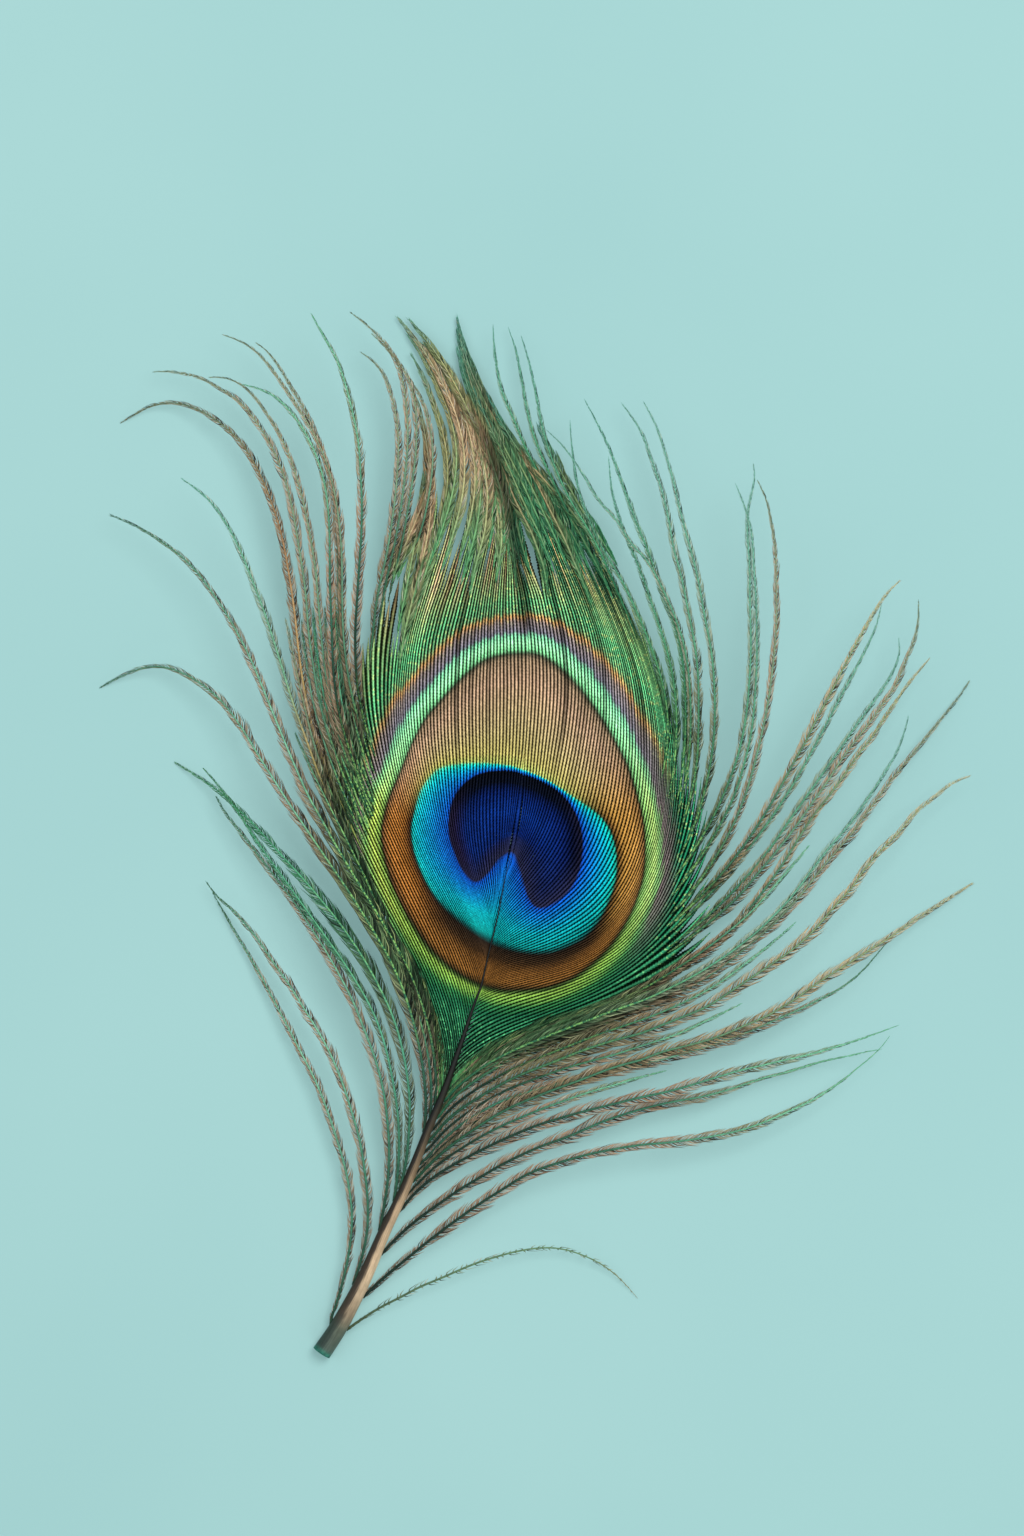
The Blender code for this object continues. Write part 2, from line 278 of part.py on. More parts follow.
hollow.solver = "EXACT"
hollow.object = lumen


def shaft_height(x, y):
    """Height of the shaft's middle beside a plan position."""
    d = (shaft_path[:, 0] - x) ** 2 + (shaft_path[:, 1] - y) ** 2
    return shaft_path[int(np.argmin(d)), 2]


# ----------------------------------------------------------------- closed vane
def vane(name, rim_points, seam_points, mat, lengthwise=30, across=7):
    rim = plan(rim_points)
    seam = plan(seam_points)
    at = np.linspace(0, 1, lengthwise)
    rim, seam = stations(rim, at), stations(seam, at)
    hand = 1.0 if np.mean(rim[:, 0] - seam[:, 0]) < 0 else -1.0
    for edge in (rim, seam):
        for p in edge:
            d = np.linalg.norm(shaft_path[:, :2] - p, axis=1)
            k = int(np.argmin(d))
            if k >= len(shaft_path) - 1:
                continue
            t = shaft_path[min(k + 1, len(shaft_path) - 1), :2] - shaft_path[max(k - 1, 0), :2]
            t = t / np.linalg.norm(t)
            out = hand * np.array([-t[1], t[0]])
            lack = shaft_half[k] + GAP - float(np.dot(p - shaft_path[k, :2], out))
            if lack > 0:
                p += out * lack
    rim_z = np.interp(at, np.linspace(0, 1, len(RIM_HEIGHT)), RIM_HEIGHT) * MM
    seam_z = np.interp(at, np.linspace(0, 1, len(SEAM_HEIGHT)), SEAM_HEIGHT) * MM
    bm = bmesh.new()
    bmesh.ops.create_grid(bm, x_segments=across - 1, y_segments=lengthwise - 1, size=0.5)
    swell = VANE_SWELL * np.sin(math.pi * at) ** 0.7
    for vert in bm.verts:
        s = vert.co.x + 0.5
        j = int(round((vert.co.y + 0.5) * (lengthwise - 1)))
        p = seam[j] * (1 - s) + rim[j] * s
        z = seam_z[j] * (1 - s) + rim_z[j] * s + swell[j] * math.sin(math.pi * s)
        vert.co = (p[0], p[1], z)
    bmesh.ops.recalc_face_normals(bm, faces=bm.faces)
    mesh = bpy.data.meshes.new(name)
    bm.to_mesh(mesh)
    bm.free()
    mesh.materials.append(mat)
    ob = bpy.data.objects.new(name, mesh)
    feather.objects.link(ob)
    shell = ob.modifiers.new("thickness", "SOLIDIFY")
    shell.thickness = VANE_THICKNESS
    shell.offset = 0.0
    shell.use_even_offset = False
    return rim, rim_z


vane_green = material("eye_vane_left_green", (0.20, 0.32, 0.12), 0.4)
left_rim, left_rim_z = vane("eye_vane_left", LEFT_RIM, LEFT_SEAM, vane_green)
vane_green = material("eye_vane_right_green", (0.18, 0.34, 0.16), 0.4)
right_rim, right_rim_z = vane("eye_vane_right", RIGHT_RIM, RIGHT_SEAM, vane_green)


def inside(poly, x, y):
    """Even-odd test of a plan position against a closed outline."""
    hit = False
    j = len(poly) - 1
    for i in range(len(poly)):
        if (poly[i][1] > y) != (poly[j][1] > y):
            cross = poly[i][0] + (y - poly[i][1]) * (poly[j][0] - poly[i][0]) / (poly[j][1] - poly[i][1])
            if x < cross:
                hit = not hit
        j = i
    return hit


# ----------------------------------------------------------------- loose barbs
barb_ring = flattened_ring("barb_profile", BARB_WIDTH_REF, BARB_THICKNESS, 4)
PER_STEP = 8                        # checks between two stations of a barb


def dense(values):
    """Straight-line values between stations."""
    n = len(values)
    return np.stack([np.interp(np.linspace(0, n - 1, (n - 1) * PER_STEP + 1),
                               np.arange(n), values[:, k])
                     for k in range(values.shape[1])], axis=1)


def plan_distance(a, b):
    return np.sqrt((a[:, None, 0] - b[None, :, 0]) ** 2
                   + (a[:, None, 1] - b[None, :, 1]) ** 2)


class Barb:
    def __init__(self, name, spec, side_outlines):
        width, self.rise, self.tip, self.layer, points = spec
        self.name = name
        path = plan(points)
        # the barb belongs to the closed vane up to where it leaves its outline
        first, height = 0, None
        for outline, rim, rim_z in side_outlines:
            within = [k for k in range(len(path)) if inside(outline, *path[k])]
            if within and max(within) + 1 > first:
                first = max(within) + 1
                d = np.linalg.norm(rim - path[min(first, len(path) - 1)], axis=1)
                height = rim_z[int(np.argmin(d))]
        path = path[first:]
        _, length = along(path)
        if height is None:
            d = plan_distance(path, shaft_dense) - shaft_dense[None, :, 3]
            k = int(np.argmin(d[0]))
            height = shaft_dense[k, 2]
            # leave the shaft's side far enough for the barb's own half width
            clear = d.min(axis=1) >= GAP + 0.42 * MM
            first_clear = int(np.argmax(clear))
            path = path[max(0, first_clear - 1):]
            _, length = along(path)
            start = 0.0
        else:
            start = 1.6 * GAP
        at = (start + (length - start) * np.linspace(0, 1, BARB_STATIONS) ** 0.95) / length
        self.run = stations(path, at)
        self.q = (at - at[0]) / (1 - at[0])
        self.z0 = height
        self.half = 0.5 * width * MM * np.interp(
            self.q, [0, 0.08, 0.30, 0.6, 0.85, 1.0], [0.36, 0.62, 1.0, 0.95, 0.55, 0.2])
        q = self.q
        self.z = (self.z0 * (1 - q) + self.tip * MM * q
                  + self.rise * MM * np.sin(math.pi * q) ** 0.9 * (1 - 0.25 * q))
        self.z = np.maximum(self.z, 0.10 * MM)

    def flat(self):
        return dense(np.column_stack([self.run, self.z, self.half]))


shaft_dense = dense(np.column_stack([shaft_path, shaft_half]))
left_outline = np.vstack([plan(LEFT_RIM), plan(LEFT_SEAM)[::-1]])
right_outline = np.vstack([plan(RIGHT_RIM), plan(RIGHT_SEAM)[::-1]])
sides = [(left_outline, left_rim, left_rim_z), (right_outline, right_rim, right_rim_z)]
barbs = [Barb("barb_left_%02d" % k, spec, sides[:1]) for k, spec in enumerate(LEFT_BARBS, 1)]
barbs += [Barb("barb_right_%02d" % k, spec, sides[1:]) for k, spec in enumerate(RIGHT_BARBS, 1)]

# keep clear of the shaft and of the vane's edges
fixed = [shaft_dense]
for outline, rim, rim_z in sides:
    fixed.append(dense(np.column_stack([rim, rim_z, np.zeros(len(rim))])))

# where barbs run side by side, each keeps to its own half of the space
for barb in barbs:
    own = barb.flat()
    room = np.full(len(own), 1.0)
    for other in barbs:
        if other is not barb:
            room = np.minimum(room, 0.5 * (plan_distance(own, other.flat()).min(axis=1) - GAP))
    for solid in fixed:
        room = np.minimum(room, (plan_distance(own, solid) - solid[:, 3]).min(axis=1) - GAP)
    barb.room = room
for barb in barbs:
    for k in range(BARB_STATIONS):
        a, b = max(0, (k - 1) * PER_STEP), min(len(barb.room), (k + 1) * PER_STEP + 1)
        limit = max(barb.room[a:b].min(), NARROWEST_BARB)
        barb.half[k] = min(barb.half[k], limit)

# where they still lie across each other, the later one climbs over
placed = []
for barb in sorted(barbs, key=lambda b: b.layer):
    thick = BARB_THICKNESS * 0.5
    for attempt in range(12):
        own = barb.flat()
        need = np.full(len(own), -1.0)
        for solid, extra in ([(f, None) for f in fixed] + [(p.flat(), thick) for p in placed]):
            reach = own[:, None, 3] + solid[None, :, 3] + 0.22 * MM
            near = plan_distance(own, solid) < reach
            tall = solid[:, 3] if extra is None and solid is fixed[0] else (
                0.5 * VANE_THICKNESS if extra is None else
                thick * np.minimum(1.0, solid[:, 3] / (0.5 * BARB_WIDTH_REF)))
            level = solid[:, 2] + tall + thick + 0.20 * MM
            need = np.maximum(need, np.where(near, np.broadcast_to(level, near.shape), -1.0).max(axis=1))
        if attempt == 0:
            # do not ask for height right at the root, which sits beside its parent
            pass
        short = need - own[:, 2]
        short[:PER_STEP // 2] = np.minimum(short[:PER_STEP // 2], 0)
        if short.max() <= 0:
            break
        step = np.concatenate([[0.0], np.cumsum(np.linalg.norm(np.diff(own[:, :2], axis=0), axis=1))])
        away = np.abs(step[:, None] - step[None, :])
        lifted = np.maximum(own[:, 2], (np.where(short > 0, need, -1.0)[None, :]
                                        - STEEPEST_LIFT * away).max(axis=1))
        new = lifted[::PER_STEP].copy()
        for k in range(BARB_STATIONS):
            a, b = max(0, (k - 1) * PER_STEP), min(len(short), (k + 1) * PER_STEP + 1)
            over = short[a:b].max()
            if over > 0:
                new[k] = max(new[k], barb.z[k] + min(over, 0.5 * MM) * 0.6)
        new[0] = barb.z[0]
        barb.z = np.maximum(barb.z, new)
    placed.append(barb)

for barb in barbs:
    side = "herl_" + barb.name
    colour = (0.30, 0.24, 0.14) if "left" in barb.name else (0.30, 0.25, 0.17)
    path3 = np.column_stack([barb.run, barb.z])
    sweep(barb.name, path3, barb.half / (0.5 * BARB_WIDTH_REF), barb_ring,
          material(side, colour, 0.5))
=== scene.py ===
"""Looks of the peacock eye feather: combed eye vanes, loose herl barbs and the horn shaft.

Plan shapes are on the same drafting sheet as the part: u to the right, v down,
one square GRID wide.  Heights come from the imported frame.
"""
import math

import bpy
import numpy as np
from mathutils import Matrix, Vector
from mathutils.bvhtree import BVHTree


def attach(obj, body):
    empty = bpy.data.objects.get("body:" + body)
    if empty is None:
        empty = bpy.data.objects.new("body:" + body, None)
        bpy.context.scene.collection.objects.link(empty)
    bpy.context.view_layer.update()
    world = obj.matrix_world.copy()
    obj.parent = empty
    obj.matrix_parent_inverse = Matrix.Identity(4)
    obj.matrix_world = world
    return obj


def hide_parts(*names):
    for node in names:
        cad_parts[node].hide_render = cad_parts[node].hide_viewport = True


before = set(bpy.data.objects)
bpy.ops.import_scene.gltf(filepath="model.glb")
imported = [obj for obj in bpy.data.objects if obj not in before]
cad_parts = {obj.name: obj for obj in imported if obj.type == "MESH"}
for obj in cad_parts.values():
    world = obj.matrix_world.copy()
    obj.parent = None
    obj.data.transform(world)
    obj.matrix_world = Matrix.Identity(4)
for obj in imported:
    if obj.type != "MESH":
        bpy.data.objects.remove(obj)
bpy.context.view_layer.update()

MM = 0.001
GRID = 0.17 * MM
QUILL_END = (321.0, 1354.0)
EYE_CENTRE = (515.0, 810.0)
ORIGIN_X = -3.847 * MM
ORIGIN_Y = 87.490 * MM
LEAN = math.atan2(EYE_CENTRE[0] - QUILL_END[0], QUILL_END[1] - EYE_CENTRE[1])
CL, SL = math.cos(LEAN), math.sin(LEAN)


def row(p):
    """Sheet positions (n, 2) to row X, Y in metres."""
    p = np.asarray(p, float)
    a = (p[..., 0] - QUILL_END[0]) * GRID
    b = (QUILL_END[1] - p[..., 1]) * GRID
    return np.stack([a * CL - b * SL - ORIGIN_X, a * SL + b * CL - ORIGIN_Y], axis=-1)


def sheet(q):
    """Row X, Y in metres back to sheet positions."""
    x, y = q[..., 0] + ORIGIN_X, q[..., 1] + ORIGIN_Y
    a, b = x * CL + y * SL, -x * SL + y * CL
    return np.stack([QUILL_END[0] + a / GRID, QUILL_END[1] - b / GRID], axis=-1)


# ---------------------------------------------------------------- plan shapes
# Shaft stations: sheet position, half thickness and height of the middle, mm
SHAFT = [
    (321, 1354, 1.60, 1.60), (340, 1325, 1.48, 1.80), (364, 1279, 1.22, 2.35),
    (384, 1233, 1.02, 2.95), (402, 1195, 0.90, 3.40), (415, 1164, 0.80, 3.75),
    (428, 1130, 0.70, 4.05), (445, 1089, 0.60, 4.35), (457, 1055, 0.52, 4.55),
    (465, 1032, 0.46, 4.62), (475, 1002, 0.40, 4.68), (481, 987, 0.37, 4.70),
    (486, 965, 0.33, 4.70), (491, 944, 0.29, 4.68), (499, 911, 0.25, 4.62),
    (504, 883, 0.22, 4.55), (508, 868, 0.20, 4.50), (514, 841, 0.17, 4.42),
    (521, 791, 0.14, 4.30),
]

# Closed vane: outer rim and inner edge, both from the shaft to the tuft tip
LEFT_RIM = [(444, 1083), (439, 1050), (428, 1010), (412, 972), (394, 938),
            (375, 903), (360, 872), (352, 845), (351, 820), (358, 795),
            (363, 768), (365, 740), (366, 705), (368, 670), (372, 640),
            (378, 612), (388, 585), (402, 562), (420, 540), (434, 515),
            (444, 490), (449, 465), (450, 440), (446, 412), (436, 385),
            (424, 362), (410, 341), (397, 321)]
LEFT_SEAM = [(446, 1081), (452, 1063), (460, 1038), (470, 1006), (476, 988),
             (482, 965), (487, 943), (495, 911), (501, 883), (505, 866),
             (511, 839), (518, 791), (522, 750), (526, 715), (528, 680),
             (528, 640), (524, 600), (517, 560), (509, 525), (501, 495),
             (490, 462), (478, 432), (460, 398), (441, 363), (421, 335),
             (401, 313)]
RIGHT_RIM = [(455, 1085), (472, 1065), (495, 1050), (525, 1036), (560, 1023),
             (595, 1010), (628, 997), (660, 980), (685, 962), (702, 940),
             (706, 918), (703, 895), (700, 870), (700, 845), (700, 815),
             (696, 788), (687, 765), (674, 750), (668, 730), (665, 710),
             (660, 688), (651, 662), (640, 636), (628, 611), (614, 586),
             (599, 561), (582, 535), (564, 510), (547, 487), (529, 463),
             (510, 440), (496, 417), (483, 392), (473, 367), (465, 340),
             (460, 318)]
RIGHT_SEAM = [(453, 1083), (461, 1061), (470, 1036), (480, 1006), (486, 988),
              (491, 966), (496, 945), (503, 912), (508, 884), (512, 868),
              (518, 842), (524, 791), (526, 750), (529, 715), (531, 680),
              (531, 640), (527, 600), (520, 560), (513, 525), (506, 492),
              (497, 460), (486, 430), (475, 398), (465, 370), (457, 342),
              (453, 318)]
LEFT_BARBS = [
    (1.5, 2.5, 0.10, 0, [(331, 1318), (338, 1299), (343, 1280), (348, 1258), (351, 1235), (352, 1215), (350, 1195), (346, 1172), (340, 1150), (332, 1125), (324, 1102), (314, 1078), (302, 1055), (288, 1028), (272, 998), (258, 972), (245, 950), (232, 928), (219, 906), (212, 893)]),
    (1.8, 4.5, 2.00, 0, [(352, 1288), (358, 1270), (363, 1253), (367, 1233), (368, 1212), (367, 1190), (364, 1165), (360, 1140), (353, 1115), (346, 1092), (338, 1070), (327, 1046), (315, 1025), (301, 1003), (290, 985), (276, 966), (262, 945), (252, 932), (240, 918), (228, 906), (214, 894), (205, 881)]),
    (2.0, 5.0, 3.20, 0, [(373, 1253), (379, 1232), (383, 1212), (387, 1188), (389, 1165), (389, 1140), (387, 1115), (384, 1092), (379, 1070), (372, 1048), (363, 1025), (355, 1004), (344, 982), (332, 960), (320, 940), (308, 922), (295, 902), (281, 884), (268, 867), (256, 852), (244, 836), (232, 822), (222, 808), (216, 796)]),
    (2.2, 6.5, 0.10, 0, [(397, 1197), (403, 1177), (407, 1155), (409, 1130), (410, 1105), (408, 1080), (404, 1055), (398, 1030), (390, 1008), (379, 985), (367, 963), (355, 944), (341, 924), (326, 905), (310, 886), (294, 868), (277, 850), (260, 831), (242, 813), (223, 795), (207, 783), (190, 772), (173, 762)]),
    (2.2, 9.0, 0.10, 0, [(420, 1152), (424, 1130), (426, 1108), (425, 1085), (422, 1060), (417, 1035), (410, 1008), (401, 982), (390, 958), (377, 935), (363, 912), (349, 890), (334, 868), (319, 846), (304, 824), (289, 802), (275, 780), (262, 760), (250, 740), (237, 720), (221, 700), (203, 685), (187, 675), (170, 668), (155, 666), (140, 668), (125, 674), (110, 681), (98, 688)]),
    (2.0, 7.0, 5.00, 0, [(434, 1113), (436, 1090), (435, 1065), (431, 1038), (424, 1010), (414, 982), (402, 955), (389, 932), (375, 908), (360, 884), (347, 862), (335, 842), (322, 818), (310, 797), (300, 775), (290, 752), (281, 730), (272, 708), (263, 686), (253, 662), (243, 642), (231, 620), (218, 600), (203, 579), (186, 560), (168, 546), (150, 534), (130, 523), (110, 515)]),
    (1.9, 6.0, 9.00, 0, [(444, 1087), (443, 1062), (438, 1035), (430, 1005), (418, 975), (405, 948), (391, 922), (376, 896), (361, 868), (347, 842), (335, 815), (325, 790), (316, 765), (308, 742), (300, 720), (293, 700), (287, 680), (281, 660), (274, 638), (267, 616), (259, 595), (251, 574), (242, 552), (232, 532), (220, 513), (205, 496), (182, 479)]),
    (2.0, 6.0, 0.10, 0, [(449, 1070), (446, 1045), (440, 1018), (430, 990), (418, 960), (404, 934), (390, 908), (376, 880), (362, 850), (349, 822), (337, 795), (325, 765), (315, 735), (308, 708), (303, 680), (299, 650), (296, 620), (292, 590), (287, 560), (282, 535), (275, 512), (267, 490), (256, 466), (240, 441), (220, 423), (200, 410), (180, 403), (166, 402), (150, 405), (135, 413), (119, 422)]),
    (1.9, 6.0, 3.50, 1, [(454, 1056), (451, 1030), (445, 1005), (435, 978), (422, 950), (408, 922), (394, 895), (381, 866), (368, 838), (356, 808), (345, 780), (335, 752), (325, 722), (318, 692), (313, 660), (309, 630), (307, 600), (304, 575), (300, 550), (296, 525), (291, 500), (284, 475), (272, 447), (258, 424), (240, 402), (220, 389), (200, 378), (180, 373), (166, 371), (152, 372)]),
    (1.7, 6.0, 6.50, 0, [(458, 1045), (455, 1020), (448, 995), (438, 968), (426, 940), (412, 912), (399, 884), (386, 856), (374, 828), (362, 798), (352, 772), (342, 745), (334, 715), (328, 685), (324, 655), (321, 625), (319, 600), (317, 575), (313, 548), (308, 520), (302, 495), (295, 470), (286, 447), (275, 426), (262, 407), (248, 390), (234, 381), (222, 378), (209, 378)]),
    (1.8, 6.5, 9.50, 1, [(462, 1035), (458, 1008), (450, 982), (440, 955), (428, 928), (415, 900), (402, 872), (390, 845), (378, 820), (366, 796), (357, 772), (349, 748), (342, 724), (337, 698), (334, 670), (333, 640), (332, 610), (331, 580), (331, 550), (330, 520), (327, 492), (321, 467), (311, 443), (297, 420), (280, 401), (262, 391), (243, 386)]),
    (1.7, 6.0, 6.00, 0, [(466, 1024), (461, 998), (453, 972), (443, 945), (431, 918), (418, 890), (405, 863), (393, 838), (382, 815), (371, 790), (361, 762), (353, 735), (347, 708), (343, 680), (341, 650), (340, 620), (339, 590), (339, 560), (338, 530), (335, 505), (331, 480), (324, 456), (315, 432), (305, 410), (292, 389), (280, 368), (268, 352), (256, 343)]),
    (1.6, 6.0, 8.50, 2, [(470, 1012), (465, 988), (457, 962), (447, 935), (435, 908), (422, 880), (409, 853), (398, 828), (387, 804), (376, 778), (367, 750), (359, 722), (352, 694), (347, 665), (344, 635), (343, 605), (343, 575), (342, 545), (339, 515), (334, 487), (326, 460), (316, 438), (304, 417), (292, 399), (281, 383), (270, 367), (256, 352), (240, 342), (223, 336)]),
    (2.0, 7.0, 12.0, 1, [(474, 1002), (468, 975), (459, 949), (448, 922), (436, 896), (424, 870), (412, 845), (401, 820), (391, 796), (382, 772), (372, 748), (364, 720), (358, 690), (356, 660), (356, 630), (358, 600), (360, 570), (362, 545), (363, 520), (363, 500), (362, 480), (361, 460), (359, 440), (354, 416), (347, 388), (338, 362), (325, 339), (312, 316)]),
    (1.7, 5.0, 5.00, 0, [(478, 990), (472, 963), (463, 937), (452, 911), (440, 885), (428, 859), (417, 834), (407, 810), (398, 786), (389, 762), (380, 738), (373, 712), (369, 685), (370, 658), (373, 632), (376, 606), (381, 580), (387, 555), (392, 525), (396, 495), (398, 470), (399, 445), (397, 420), (392, 397), (385, 377), (374, 362), (360, 352)]),
    (1.6, 5.0, 7.00, 1, [(481, 980), (475, 953), (466, 927), (455, 901), (443, 875), (432, 850), (421, 825), (412, 800), (403, 776), (394, 752), (386, 728), (379, 700), (376, 672), (377, 645), (380, 618), (384, 592), (390, 565), (396, 538), (401, 510), (405, 480), (408, 450), (408, 425), (406, 400), (402, 378), (395, 358), (382, 341), (366, 325), (350, 313)]),
    (1.5, 5.0, 5.50, 2, [(484, 970), (478, 943), (469, 917), (458, 891), (447, 866), (436, 840), (426, 816), (417, 792), (408, 768), (400, 744), (392, 720), (386, 695), (382, 668), (382, 642), (386, 614), (391, 587), (398, 560), (404, 533), (409, 505), (413, 480), (416, 455), (417, 432), (416, 410), (413, 392), (407, 376), (397, 361), (384, 347), (372, 335)]),
    (1.6, 4.0, 3.00, 1, [(486, 962), (480, 935), (472, 909), (462, 884), (451, 858), (441, 833), (431, 808), (422, 784), (413, 760), (405, 736), (398, 712), (392, 686), (390, 660), (391, 634), (396, 605), (405, 575), (415, 548), (424, 520), (430, 490), (433, 462), (432, 440), (428, 418), (422, 400), (414, 385), (404, 370)]),
    (1.6, 5.5, 4.00, 1, [(386, 1228), (393, 1205), (397, 1180), (399, 1155), (399, 1130), (397, 1105), (393, 1080), (388, 1055), (381, 1030), (371, 1006), (358, 983), (344, 961), (329, 940), (314, 919), (298, 897), (283, 876), (268, 856), (254, 836), (240, 814), (226, 795), (214, 780), (203, 768)]),
]
